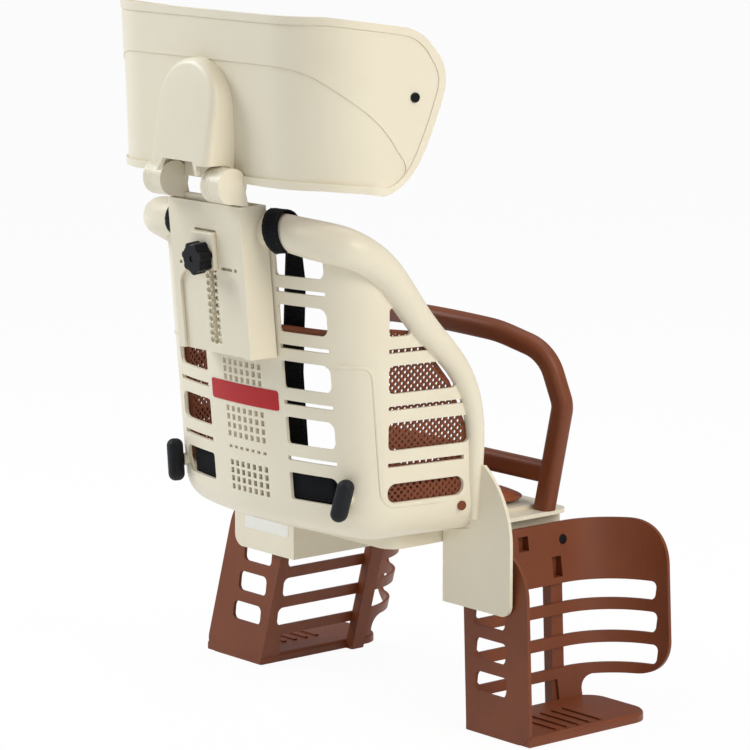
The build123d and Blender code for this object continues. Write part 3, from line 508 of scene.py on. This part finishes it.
def stitchPiece(name, lines, body, look, finish):
    bm = bmesh.new()
    for line in lines:
        dots = [bm.verts.new(p) for p in line]
        for a, b in zip(dots, dots[1:]):
            bm.edges.new((a, b))
    base = bpy.data.meshes.new(name)
    bm.to_mesh(base)
    bm.free()
    values = {"Pitch": look["pitch"], "Thread Length": look["length"], "Thread Radius": look["radius"],
              "Finish": finishes[finish]}
    mesh = runTree(name, base, stitches, stitchKeys, values)
    for face in mesh.polygons:
        face.use_smooth = True
    return newPiece(name, mesh, body, finish)


# the shell's outer face, in millimetres and degrees
shellSkin = {"recline": 5.0, "flare": 8.0, "backRadius": 430.0, "backCentre": 305.5,
             "cornerHub": (102.7, -64.5), "cornerRadius": 46.0, "cornerEnd": -70.9}
recline = math.tan(math.radians(shellSkin["recline"]))
flare = math.radians(shellSkin["flare"])


def backPoint(x, z, deep):
    # back of the shell: a place so deep inside its outer face
    reach = shellSkin["backRadius"] - deep
    return mm(x, shellSkin["backCentre"] - math.sqrt(reach ** 2 - x * x) - z * recline, z)


def cornerPoint(run, z, out):
    # rounded rear corner and side of the shell, a distance along from where the corner ends
    hubX, hubY = shellSkin["cornerHub"]
    radius = shellSkin["cornerRadius"]
    turn = math.pi / 2 - flare + min(run, 0.0) / radius
    outward = Vector((math.sin(turn), -math.cos(turn), 0))
    ahead = Vector((math.cos(turn), math.sin(turn), 0))
    hub = Vector((hubX, hubY - z * recline, z))
    return (hub + outward * (radius + out) + ahead * max(run, 0.0)) / 1000


def wallPoint(y, z, deep):
    # the same skin by its depth front to back: a place so deep inside its outer face
    return cornerPoint((y + z * recline - shellSkin["cornerEnd"]) / math.cos(flare), z, -deep)


strapLook = {"thick": 1.8, "threadInset": 3.2,
             "threads": {"pitch": 0.0042, "length": 0.0028, "radius": 0.00032}}


def strapPiece(name, threadName, path, sides, widths, thick, faces, node):
    mesh = meshFrom(name, ribbon(path, sides, widths, thick))
    newPiece(name, mesh, "seat", "webbing", [node])
    lines = edgeLines(path, sides, widths, thick, faces)
    stitchPiece(threadName, lines, "seat", strapLook["threads"], "thread")


shoulderStrap = {"width": 26.0, "narrow": 19.0, "widen": 35.0, "shift": 3.2, "slant": 13.0,
                 "overRim": (67.5, -144.0, 304.0), "loop": 20.3, "turns": (238, -8, 15),
                 "start": 290, "step": 6, "inner": 52.0, "bend": 170.0, "low": 93.0}


def makeShoulderStraps():
    look = shoulderStrap
    centre = Vector(look["overRim"])
    turned = math.asin(centre.x / shellSkin["backRadius"])
    inward = Vector((-math.sin(turned), math.cos(turned), 0))
    sideways = Vector((math.cos(turned), math.sin(turned), 0))
    first, last, count = look["turns"]
    top = math.pi / 2
    path, sides, widths = [], [], []
    # bunched narrower where it loops over the rim
    for i in range(count + 1):
        a = math.radians(first + (last - first) * i / count)
        loop = inward * look["loop"] * math.cos(a) + Vector((0, 0, look["loop"] * math.sin(a)))
        past = max(0.0, (a - top) / (math.radians(first) - top))
        path.append(centre + loop + sideways * (look["slant"] * past - look["shift"]))
        sides.append(sideways)
        widths.append(look["narrow"] / 1000)
    # down the inside of the back, slanting in and then straight
    slant = (centre.x - look["inner"]) / (centre.z - look["bend"])
    for height in range(look["start"], int(look["low"]) - 1, -look["step"]):
        fall = centre.z - height
        spread = max(0.0, min(1.0, (look["start"] - height) / look["widen"]))
        shift = min(fall, centre.z - look["bend"]) * slant + look["shift"] * (1 - spread)
        place = centre + inward * (look["loop"] + fall * recline) - sideways * shift
        path.append(Vector((place.x, place.y, height)))
        sides.append(sideways)
        widths.append((look["narrow"] + (look["width"] - look["narrow"]) * spread) / 1000)
    path = [p / 1000 for p in path]
    for name, flip in (("Right", False), ("Left", True)):
        line = flipped(path) if flip else path
        across = [Vector((s.x, -s.y, 0)) for s in sides] if flip else sides
        strapPiece("shoulderStrap" + name, "shoulderThread" + name, line, across, widths,
                   strapLook["thick"] / 1000, (1, -1), "shoulder_strap_" + name.lower())


waistBelt = {"width": 33.0, "thick": 2.4, "height": 67.0, "half": 106.0, "deep": 5.8, "steps": 40}


def makeWaistBelt():
    look = waistBelt
    path = [backPoint(look["half"] * (1 - 2 * i / look["steps"]), look["height"], look["deep"])
            for i in range(look["steps"] + 1)]
    sides = [Vector((0, -recline, 1))] * len(path)
    widths = [look["width"] / 1000] * len(path)
    strapPiece("waistBelt", "waistThread", path, sides, widths, look["thick"] / 1000, (1, -1), "waist_belt")


lapStrap = {"width": 25.0, "steps": 8,
            "points": [(90.0, -58.0, 31.5), (72.0, -36.0, 33.6), (46.0, -2.0, 35.0), (23.2, 32.0, 40.5)]}
crotchStrap = {"width": 30.0, "steps": 8,
               "points": [(0.0, 69.6, 36.0), (0.0, 84.0, 35.2), (0.0, 105.0, 34.4), (0.0, 121.5, 33.6)]}


def makeLapStraps():
    thick = strapLook["thick"] / 1000
    for name, sign in (("Right", 1), ("Left", -1)):
        path = smoothPath([mm(sign * x, y, z) for x, y, z in lapStrap["points"]], lapStrap["steps"])
        run = path[-1] - path[0]
        sides = [Vector((-run.y, run.x, 0)).normalized()] * len(path)
        widths = [lapStrap["width"] / 1000] * len(path)
        strapPiece("lapStrap" + name, "lapThread" + name, path, sides, widths, thick, (-1,),
                   "lap_strap_" + name.lower())
    path = smoothPath([mm(*p) for p in crotchStrap["points"]], crotchStrap["steps"])
    sides = [Vector((1, 0, 0))] * len(path)
    widths = [crotchStrap["width"] / 1000] * len(path)
    strapPiece("crotchStrap", "crotchThread", path, sides, widths, thick, (1,), "crotch_strap")


def roundOutline(points, radius, steps):
    # polygon with round corners, each point with its outward direction
    ring = []
    count = len(points)
    for i, corner in enumerate(points):
        corner = Vector(corner)
        before = (Vector(points[i - 1]) - corner).normalized()
        after = (Vector(points[(i + 1) % count]) - corner).normalized()
        half = before.angle(after) / 2
        hub = corner + (before + after).normalized() * radius / math.sin(half)
        first = (corner + before * radius / math.tan(half) - hub).normalized()
        last = (corner + after * radius / math.tan(half) - hub).normalized()
        for j in range(steps + 1):
            out = first.slerp(last, j / steps)
            ring.append((hub + out * radius, out))
    return ring


def perforatedTree():
    # one holed cell on every point of a diagonal lattice, joined to a sheet
    wire, keys, pick = newTree("perforatedSheet", "Lattice", {"Cell": "Object", "Finish": "Material"})
    cell = wire.add("GeometryNodeObjectInfo", None, {"Object": pick("Cell")}, "Geometry")
    points = wire.add("GeometryNodeMeshToPoints", None, {"Mesh": pick("Lattice")})
    laid = wire.add("GeometryNodeInstanceOnPoints", None, {"Points": points, "Instance": cell})
    solid = wire.add("GeometryNodeRealizeInstances", None, {"Geometry": laid})
    joined = wire.add("GeometryNodeMergeByDistance", None, {"Geometry": solid, "Distance": 0.00002})
    endTree(wire, joined, pick("Finish"))
    return wire.tree, keys


liner = {"outline": [(-94, 52), (3.4, 52), (3.4, 118), (-15.5, 163), (-54.5, 213), (-88, 218), (-106, 202)],
         "round": 7.9, "edge": 3.6, "edgeThick": 4.6, "lip": 1.2, "sheetThick": 2.4, "inset": 3.9,
         "pitch": 4.8, "hole": 1.75, "lattice": {"left": -118, "low": 40, "wide": 130, "high": 200},
         "barHeight": 209.0, "barWidth": 14.4, "barThick": 4.0, "barEdge": 0.4,
         "barCorner": (-12, -54, -4), "barBack": (100, -1, -10)}


def linerCell():
    # diamond of the sheet round one hole, open at its sides
    bm = bmesh.new()
    reach, deep = liner["pitch"] / math.sqrt(2), liner["sheetThick"]
    turns = (0, math.pi / 2, math.pi, -math.pi / 2)
    edge = [Vector((reach * math.cos(a), reach * math.sin(a), 0)) for a in turns]
    rim = []
    for i in range(4):
        rim += [edge[i], (edge[i] + edge[(i + 1) % 4]) / 2]
    turns = [i * math.pi / 4 for i in range(8)]
    hole = [Vector((math.cos(a), math.sin(a), 0)) * liner["hole"] for a in turns]
    layers = []
    for z in (0, deep):
        lift = Vector((0, 0, z))
        layers.append([[bm.verts.new((p + lift) / 1000) for p in loop] for loop in (rim, hole)])
    (rimLow, holeLow), (rimHigh, holeHigh) = layers
    for i in range(8):
        k = (i + 1) % 8
        bm.faces.new((rimLow[k], rimLow[i], holeLow[i], holeLow[k]))
        bm.faces.new((rimHigh[i], rimHigh[k], holeHigh[k], holeHigh[i]))
        bm.faces.new((holeLow[k], holeLow[i], holeHigh[i], holeHigh[k]))
    mesh = bpy.data.meshes.new("linerCell")
    bm.to_mesh(mesh)
    bm.free()
    obj = bpy.data.objects.new("linerCell", mesh)
    bpy.context.scene.collection.objects.link(obj)
    return obj


def makeLiner():
    look = liner
    cell = linerCell()
    step = look["pitch"] / math.sqrt(2)
    area = look["lattice"]
    bm = bmesh.new()
    for row in range(int(area["high"] / step)):
        for column in range(int(area["wide"] / step)):
            if (row + column) % 2 == 0:
                bm.verts.new(mm(area["left"] + column * step, area["low"] + row * step, 0))
    lattice = bpy.data.meshes.new("linerLattice")
    bm.to_mesh(lattice)
    bm.free()
    tree, keys = perforatedTree()
    flat = runTree("linerFlat", lattice, tree, keys, {"Cell": cell, "Finish": finishes["brown"]})
    dropObject(cell)
    bm = bmesh.new()
    bm.from_mesh(flat)
    ring = roundOutline(look["outline"], look["round"], 5)
    inner = look["edge"] * 0.5
    for point, out in ring:
        # trim to the outline, and close the cut
        place, outward = mm(*(point - out * inner), 0), Vector((out.x, out.y, 0))
        cut = bmesh.ops.bisect_plane(bm, geom=allOf(bm), dist=1e-7, plane_co=place, plane_no=outward,
                                     clear_outer=True)
        edges = [e for e in cut["geom_cut"] if isinstance(e, bmesh.types.BMEdge)]
        bmesh.ops.holes_fill(bm, edges=edges, sides=0)
    for vert in bm.verts:
        vert.co = wallPoint(vert.co.x * 1000, vert.co.y * 1000, look["inset"] + vert.co.z * 1000)
    # rim of the panel, a round-edged frame
    wide, deep, lip = look["edge"], look["edgeThick"], look["lip"]
    rows = [(0, lip), (0, deep - lip), (lip, deep), (wide - lip, deep),
            (wide, deep - lip), (wide, lip), (wide - lip, 0), (lip, 0)]
    rings = [[bm.verts.new(wallPoint(*(p - out * a), look["inset"] + b)) for a, b in rows] for p, out in ring]
    bridge(bm, rings, True)
    bmesh.ops.remove_doubles(bm, verts=bm.verts, dist=2e-6)
    panel = meshFrom("linerRight", bm, False)
    newPiece("linerRight", panel, "seat", "brown", ["seat_liner"])
    bm = bmesh.new()
    bm.from_mesh(panel)
    for vert in bm.verts:
        vert.co.x = -vert.co.x
    bmesh.ops.reverse_faces(bm, faces=bm.faces)
    newPiece("linerLeft", meshFrom("linerLeft", bm, False), "seat", "brown")
    # bar across the back, round both corners
    deep = look["inset"] + look["barThick"] / 2
    path = [cornerPoint(run, look["barHeight"], -deep) for run in range(*look["barCorner"])]
    path += [backPoint(x, look["barHeight"], deep) for x in range(*look["barBack"])]
    path += flipped(path[-2::-1])
    sides = [Vector((0, -recline, 1))] * len(path)
    widths = [look["barWidth"] / 1000] * len(path)
    bm = ribbon(path, sides, widths, look["barThick"] / 1000, look["barEdge"])
    newPiece("linerBar", meshFrom("linerBar", bm), "seat", "brown")


sideStep = {"line": [(-60.0, 184.0), (-13.5, 184.0), (-13.5, 53.0), (54.0, 52.0)], "bends": [13.0, 15.0],
            "wide": 5.0, "high": 1.1, "sunk": 0.4, "shoulder": 0.6, "step": 3.0, "taper": 4}


def bentLine(points, radii, step, bendSteps=8):
    # flat line with round bends, in even short steps
    line = [Vector(points[0])]
    for before, corner, after, radius in zip(points, points[1:], points[2:], radii):
        corner = Vector(corner)
        near = (Vector(before) - corner).normalized() * radius
        far = (Vector(after) - corner).normalized() * radius
        for i in range(bendSteps + 1):
            t = i / bendSteps
            line.append(corner + near * (1 - t) ** 2 + far * t ** 2)
    line.append(Vector(points[-1]))
    fine = []
    for a, b in zip(line, line[1:]):
        count = max(1, int((b - a).length / step))
        fine += [a.lerp(b, i / count) for i in range(count)]
    return fine + [line[-1]]


def makeSideSteps():
    # moulded edge round the windows of each side
    look = sideStep
    line = bentLine(look["line"], look["bends"], look["step"])
    half, high, sunk, part = look["wide"] / 2, look["high"], look["sunk"], look["shoulder"]
    rows = [(-half, -sunk), (-half * part, high * part), (0, high), (half * part, high * part), (half, -sunk)]
    last = len(line) - 1
    for name, sign in (("Right", 1), ("Left", -1)):
        bm = bmesh.new()
        rings = []
        for i, p in enumerate(line):
            ahead = (line[min(i + 1, last)] - line[max(i - 1, 0)]).normalized()
            rise = min(1.0, i / look["taper"], (last - i) / look["taper"])
            ring = []
            for across, out in rows:
                lift = out * rise - sunk * (1 - rise)
                place = cornerPoint(p.x - ahead.y * across, p.y + ahead.x * across, lift)
                ring.append(bm.verts.new((sign * place.x, place.y, place.z)))
            rings.append(ring)
        bridge(bm, rings, False)
        bm.faces.new(rings[0])
        bm.faces.new(rings[-1])
        newPiece("sideStep" + name, meshFrom("sideStep" + name, bm), "seat", "cream")


badge = {"half": 50.0, "low": 134.0, "high": 153.0, "thick": 0.9, "round": 2.6, "sunk": 0.3, "strips": 16}
flapLabel = {"left": -190.0, "right": -121.0, "low": -36.0, "high": -13.0, "thick": 0.4, "round": 1.5,
             "rear": 13.0, "sunk": 0.1, "strips": 1}


def plateMesh(name, look, left, right, place):
    # thin plate with round corners, laid on a face by a placing function
    low, high, strips = look["low"], look["high"], look["strips"]
    outline = [(left, low), (right, low), (right, high), (left, high)]
    ring = [p for p, out in roundOutline(outline, look["round"], 4)]
    bm = bmesh.new()
    bm.faces.new([bm.verts.new((p.x, p.y, 0)) for p in ring])
    first, last = min(p.x for p in ring), max(p.x for p in ring)
    for i in range(1, strips):
        at = first + (last - first) * i / strips
        bmesh.ops.bisect_plane(bm, geom=allOf(bm), dist=1e-5, plane_co=(at, 0, 0), plane_no=(1, 0, 0))
    raiseFaces(bm, bm.faces[:], look["thick"])
    for vert in bm.verts:
        vert.co = place(*vert.co)
    return meshFrom(name, bm, False)


def makePlates():
    mesh = plateMesh("backBadge", badge, -badge["half"], badge["half"],
                     lambda x, z, out: backPoint(x, z, badge["sunk"] - out))
    newPiece("backBadge", mesh, "seat", "badge")
    mesh = plateMesh("flapLabel", flapLabel, flapLabel["left"], flapLabel["right"],
                     lambda x, z, out: mm(x, flapLabel["rear"] + flapLabel["sunk"] - out, z))
    newPiece("flapLabel", mesh, "seat", "label")


def remeshed(obj, voxel):
    made = obj.modifiers.new("voxels", "REMESH")
    made.mode = "VOXEL"
    made.voxel_size = voxel
    mesh = plain(obj)
    obj.modifiers.remove(made)
    obj.data = mesh


def puff(obj, look):
    # swell by cloth pressure, each point held near its start
    start = [v.co.copy() for v in obj.data.vertices]
    cloth = obj.modifiers.new("puff", "CLOTH")
    cloth.settings.use_pressure = True
    cloth.settings.uniform_pressure_force = look["pressure"]
    cloth.settings.effector_weights.gravity = 0.0
    cloth.point_cache.frame_start = 1
    cloth.point_cache.frame_end = look["frames"]
    scene = bpy.context.scene
    for step in range(1, look["frames"] + 1):
        scene.frame_set(step)
    swollen = plain(obj)
    obj.modifiers.remove(cloth)
    scene.frame_set(1)
    for vert, first, last in zip(obj.data.vertices, start, swollen.vertices):
        shift = last.co - first
        if shift.length > look["cap"]:
            shift *= look["cap"] / shift.length
        vert.co = first + shift
    bm = bmesh.new()
    bm.from_mesh(obj.data)
    for i in range(look["smooth"]):
        bmesh.ops.smooth_vert(bm, verts=bm.verts, factor=0.5,
                              use_axis_x=True, use_axis_y=True, use_axis_z=True)
    bm.to_mesh(obj.data)
    bm.free()


def fitTo(obj, low, high):
    # stretch a swollen pad back to the room it has
    points = [v.co for v in obj.data.vertices]
    for axis in range(3):
        first, last = min(p[axis] for p in points), max(p[axis] for p in points)
        scale = (high[axis] - low[axis]) / (last - first)
        for p in points:
            p[axis] = low[axis] + (p[axis] - first) * scale


def finer(obj, finish):
    made = obj.modifiers.new("fine", "SUBSURF")
    made.levels = made.render_levels = 1
    mesh = plain(obj)
    obj.modifiers.remove(made)
    obj.data = mesh
    for face in mesh.polygons:
        face.use_smooth = True
    mesh.materials.clear()
    mesh.materials.append(finishes[finish])


cushion = {"half": 96.0, "rear": -64.0, "front": 136.0, "low": 20.0, "high": 28.5, "top": 32.7, "round": 24.0,
           "cornerSteps": 6, "step": 8, "waist": 3.0, "voxel": 0.005, "pressure": 4.0, "frames": 20,
           "cap": 0.006, "smooth": 3, "piping": 2.3, "pipingHeight": 25.0, "pipingOut": 0.9,
           "pipingSides": 10, "seam": 9.0, "above": 60.0,
           "threads": {"pitch": 0.0055, "length": 0.0038, "radius": 0.0004}}


def cushionLine():
    # outline of the cushion, its sides drawn in between the corners
    look = cushion
    half, rear, front = look["half"], look["rear"], look["front"]
    corners = [(-half, rear), (half, rear), (half, front), (-half, front)]
    ring = [p for p, out in roundOutline(corners, look["round"], look["cornerSteps"])]
    middle, deep = (rear + front) / 2, (front - rear) / 2
    line = []
    for a, b in zip(ring, ring[1:] + ring[:1]):
        count = max(1, int((b - a).length / look["step"]))
        for i in range(count):
            p = a.lerp(b, i / count)
            along, across = (p.y - middle) / deep, p.x / half
            pull = Vector((-across * (1 - along ** 2), -along * (1 - across ** 2))) * look["waist"]
            line.append(p + pull)
    return line


def makePiping(line):
    # cord sewn round the cushion's edge
    radius, sides, count = cushion["piping"], cushion["pipingSides"], len(line)
    bm = bmesh.new()
    rings = []
    for i, p in enumerate(line):
        ahead = (line[(i + 1) % count] - line[i - 1]).normalized()
        out = Vector((ahead.y, -ahead.x))
        hub = p + out * (radius * cushion["pipingOut"])
        loop = []
        for j in range(sides):
            a = j * math.tau / sides
            spot = hub + out * radius * math.cos(a)
            loop.append(bm.verts.new(mm(spot.x, spot.y, cushion["pipingHeight"] + radius * math.sin(a))))
        rings.append(loop)
    bridge(bm, rings, True)
    newPiece("cushionPiping", meshFrom("cushionPiping", bm), "seat", "hide")


def makeCushionSeam(line, mesh):
    # row of threads dropped on the swollen top
    above = cushion["above"]
    centre = mm(0, (cushion["rear"] + cushion["front"]) / 2, above)
    skin = BVHTree.FromPolygons([v.co for v in mesh.vertices], [f.vertices for f in mesh.polygons])
    row = []
    for p in line + line[:1]:
        spot = mm(p.x, p.y, above)
        inward = centre - spot
        hit = skin.ray_cast(spot + inward.normalized() * cushion["seam"] / 1000, Vector((0, 0, -1)))[0]
        if hit:
            row.append(hit)
    stitchPiece("cushionThread", [row], "seat", cushion["threads"], "seam")


def makeCushion():
    look = cushion
    line = cushionLine()
    bm = bmesh.new()
    bottom = bm.faces.new([bm.verts.new(mm(p.x, p.y, look["low"])) for p in line])
    raiseFaces(bm, [bottom], look["high"] / 1000)
    mesh = meshFrom("seatCushion", bm)
    obj = newPiece("seatCushion", mesh, "seat", "hide", ["seat_cushion"])
    remeshed(obj, look["voxel"])
    puff(obj, look)
    fitTo(obj, mm(-look["half"], look["rear"], look["low"]), mm(look["half"], look["front"], look["top"]))
    finer(obj, "hide")
    makePiping(line)
    makeCushionSeam(line, obj.data)


# the wings' front edges run straight from low to tip in the frame
wingEdge = {"low": (-88.0, 343.0), "tip": (-36.0, 486.0), "flare": 10.0, "bow": 6.0, "bowFade": 16.0,
            "round": 13.0, "roundFade": 40.0, "foot": 0.12, "band": 8.0, "front": -150.0, "cuts": 40,
            "sharp": 28.0}


def faded(behind, fade):
    # full along the bead, then easing to nothing
    t = max(0.0, min(1.0, (behind - wingEdge["band"]) / fade))
    return 1 - t * t * (3 - 2 * t)


def makeHeadrest():
    # the shield, with its wings' front edges bowed and their lower corners rounded off
    look = wingEdge
    (lowY, lowZ), (tipY, tipZ) = look["low"], look["tip"]
    bm = bmesh.new()
    bm.from_mesh(nodes["headrest_shell"].data)
    bmesh.ops.remove_doubles(bm, verts=bm.verts, dist=1e-6)
    for i in range(look["cuts"]):
        height = lowZ + (tipZ - lowZ) * (i + 0.5) / look["cuts"]
        wings = [f for f in bm.faces if max(v.co.y for v in f.verts) > look["front"] / 1000]
        parts = set(wings)
        for face in wings:
            parts.update(face.edges)
            parts.update(face.verts)
        bmesh.ops.bisect_plane(bm, geom=list(parts), dist=1e-7, plane_co=mm(0, 0, height), plane_no=(0, 0, 1))
    slope = math.tan(math.radians(look["flare"]))
    for vert in bm.verts:
        t = max(0.0, min(1.0, (vert.co.z * 1000 - lowZ) / (tipZ - lowZ)))
        behind = lowY + (tipY - lowY) * t - vert.co.y * 1000
        shift = look["bow"] * math.sin(math.pi * t) * faded(behind, look["bowFade"])
        shift -= look["round"] * math.exp(-(t / look["foot"]) ** 2) * faded(behind, look["roundFade"])
        vert.co.y += shift / 1000
        vert.co.x += math.copysign(shift * slope, vert.co.x) / 1000
    for edge in bm.edges:
        edge.smooth = edge.calc_face_angle(math.pi) < math.radians(look["sharp"])
    mesh = bpy.data.meshes.new("headrestShield")
    bm.to_mesh(mesh)
    bm.free()
    for face in mesh.polygons:
        face.use_smooth = True
    newPiece("headrestShield", mesh, "headrest", "cream", ["headrest_shell"])


headPad = {"voxel": 0.0036, "shrink": 0.0026, "clearance": 0.8, "pressure": 4.0, "frames": 20,
           "cap": 0.0024, "smooth": 9}


def makeHeadPad():
    look = headPad
    bm = bmesh.new()
    bm.from_mesh(nodes["headrest_pad"].data)
    bmesh.ops.remove_doubles(bm, verts=bm.verts, dist=1e-5)
    obj = newPiece("headPad", meshFrom("headPad", bm), "headrest", "hide", ["headrest_pad"])
    remeshed(obj, look["voxel"])
    for vert in obj.data.vertices:
        vert.co -= vert.normal * look["shrink"]
    puff(obj, look)
    low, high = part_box("headrest_pad")
    spare = mm(*[look["clearance"]] * 3)
    fitTo(obj, low + spare, high - spare)
    finer(obj, "hide")


makeShoulderStraps()
makeWaistBelt()
makeLapStraps()
print("webbing laid")
makeLiner()
makePlates()
makeSideSteps()
print("liner, plates and side steps made")
makeHeadrest()
print("headrest shaped")
makeCushion()
makeHeadPad()
print("padding made")


stageLook = {"floorGap": 0.002, "reach": 8.0, "floorGlow": 0.95, "floorColour": (0.95, 0.95, 0.95, 1),
             "floorRoughness": 0.9, "sky": (0.86, 0.91, 0.97, 1), "skyStrength": 0.36}


def whiteBackdrop(tree, rays, share, lit, kind, end):
    # white to the given kinds of ray, and lit as usual to the rest
    wire = Wire(tree)
    path = tree.nodes.new("ShaderNodeLightPath")
    seen = Wire(tree, path.outputs[rays[0]])
    for ray in rays[1:]:
        seen = wire.sum("MAXIMUM", seen, Wire(tree, path.outputs[ray]))
    white = tree.nodes.new(kind)
    white.inputs["Color"].default_value = (1, 1, 1, 1)
    white.inputs["Strength"].default_value = 1.0
    mix = tree.nodes.new("ShaderNodeMixShader")
    for i, source in enumerate(((seen * share).socket, lit.outputs[0], white.outputs[0])):
        tree.links.new(source, mix.inputs[i])
    tree.links.new(mix.outputs[0], tree.nodes[end].inputs["Surface"])


def makeFloor():
    mesh = bpy.data.meshes.new("floor")
    reach = stageLook["reach"]
    level = cadBox[0].z - stageLook["floorGap"]
    corners = [(x * reach, y * reach, level) for x, y in ((-1, -1), (1, -1), (1, 1), (-1, 1))]
    mesh.from_pydata(corners, [], [(0, 1, 2, 3)])
    floor = bpy.data.objects.new("floor", mesh)
    bpy.context.scene.collection.objects.link(floor)
    material = bpy.data.materials.new("paleFloor")
    material.use_nodes = True
    tree = material.node_tree
    shader = tree.nodes["Principled BSDF"]
    shader.inputs["Base Color"].default_value = stageLook["floorColour"]
    shader.inputs["Roughness"].default_value = stageLook["floorRoughness"]
    rays = ("Is Camera Ray", "Is Glossy Ray", "Is Transmission Ray")
    whiteBackdrop(tree, rays, stageLook["floorGlow"], shader, "ShaderNodeEmission", "Material Output")
    mesh.materials.append(material)


def makeSky():
    world = bpy.data.worlds.new("studio")
    world.use_nodes = True
    bpy.context.scene.world = world
    tree = world.node_tree
    sky = tree.nodes["Background"]
    sky.inputs["Color"].default_value = stageLook["sky"]
    sky.inputs["Strength"].default_value = stageLook["skyStrength"]
    rays = ("Is Camera Ray", "Is Transmission Ray")
    whiteBackdrop(tree, rays, 1.0, sky, "ShaderNodeBackground", "World Output")


lampAim = (0.0, 0.0, 160.0)
lamps = {
    "keyLamp": {"place": (2.9, 0.1, 1.9), "size": 1.6, "power": 58.0, "warmth": (1.0, 0.95, 0.87)},
    "fillLamp": {"place": (-1.3, -1.05, 1.45), "size": 1.1, "power": 27.0, "warmth": (0.95, 0.98, 1.0)},
    "topLamp": {"place": (0.2, 0.7, 2.8), "size": 2.2, "power": 24.0, "warmth": (1.0, 1.0, 1.0)},
}


def makeLamps():
    aim = mm(*lampAim)
    for name, lamp in lamps.items():
        data = bpy.data.lights.new(name, "AREA")
        data.energy = lamp["power"]
        data.size = lamp["size"]
        data.color = lamp["warmth"]
        obj = bpy.data.objects.new(name, data)
        bpy.context.scene.collection.objects.link(obj)
        obj.location = lamp["place"]
        obj.rotation_euler = (aim - obj.location).to_track_quat("-Z", "Y").to_euler()


lens = {"azimuth": 50.0, "elevation": 10.0, "distance": 3.5, "aim": (25.4, 2.6, 149.3),
        "focalPixels": 3675.0, "frame": 750.0, "sensor": 36.0, "clipEnd": 100.0}


def makeCamera():
    data = bpy.data.cameras.new("camera")
    data.sensor_width = lens["sensor"]
    data.lens = lens["sensor"] * lens["focalPixels"] / lens["frame"]
    obj = bpy.data.objects.new("camera", data)
    bpy.context.scene.collection.objects.link(obj)
    a, e = math.radians(lens["azimuth"]), math.radians(lens["elevation"])
    back = Vector((math.sin(a) * math.cos(e), -math.cos(a) * math.cos(e), math.sin(e)))
    obj.location = mm(*lens["aim"]) + back * lens["distance"]
    obj.rotation_euler = (-back).to_track_quat("-Z", "Y").to_euler()
    data.clip_end = lens["clipEnd"]
    bpy.context.scene.camera = obj


makeFloor()
makeSky()
makeLamps()
makeCamera()
bpy.context.scene.view_settings.view_transform = "Standard"
print("stage, lamps and camera set")
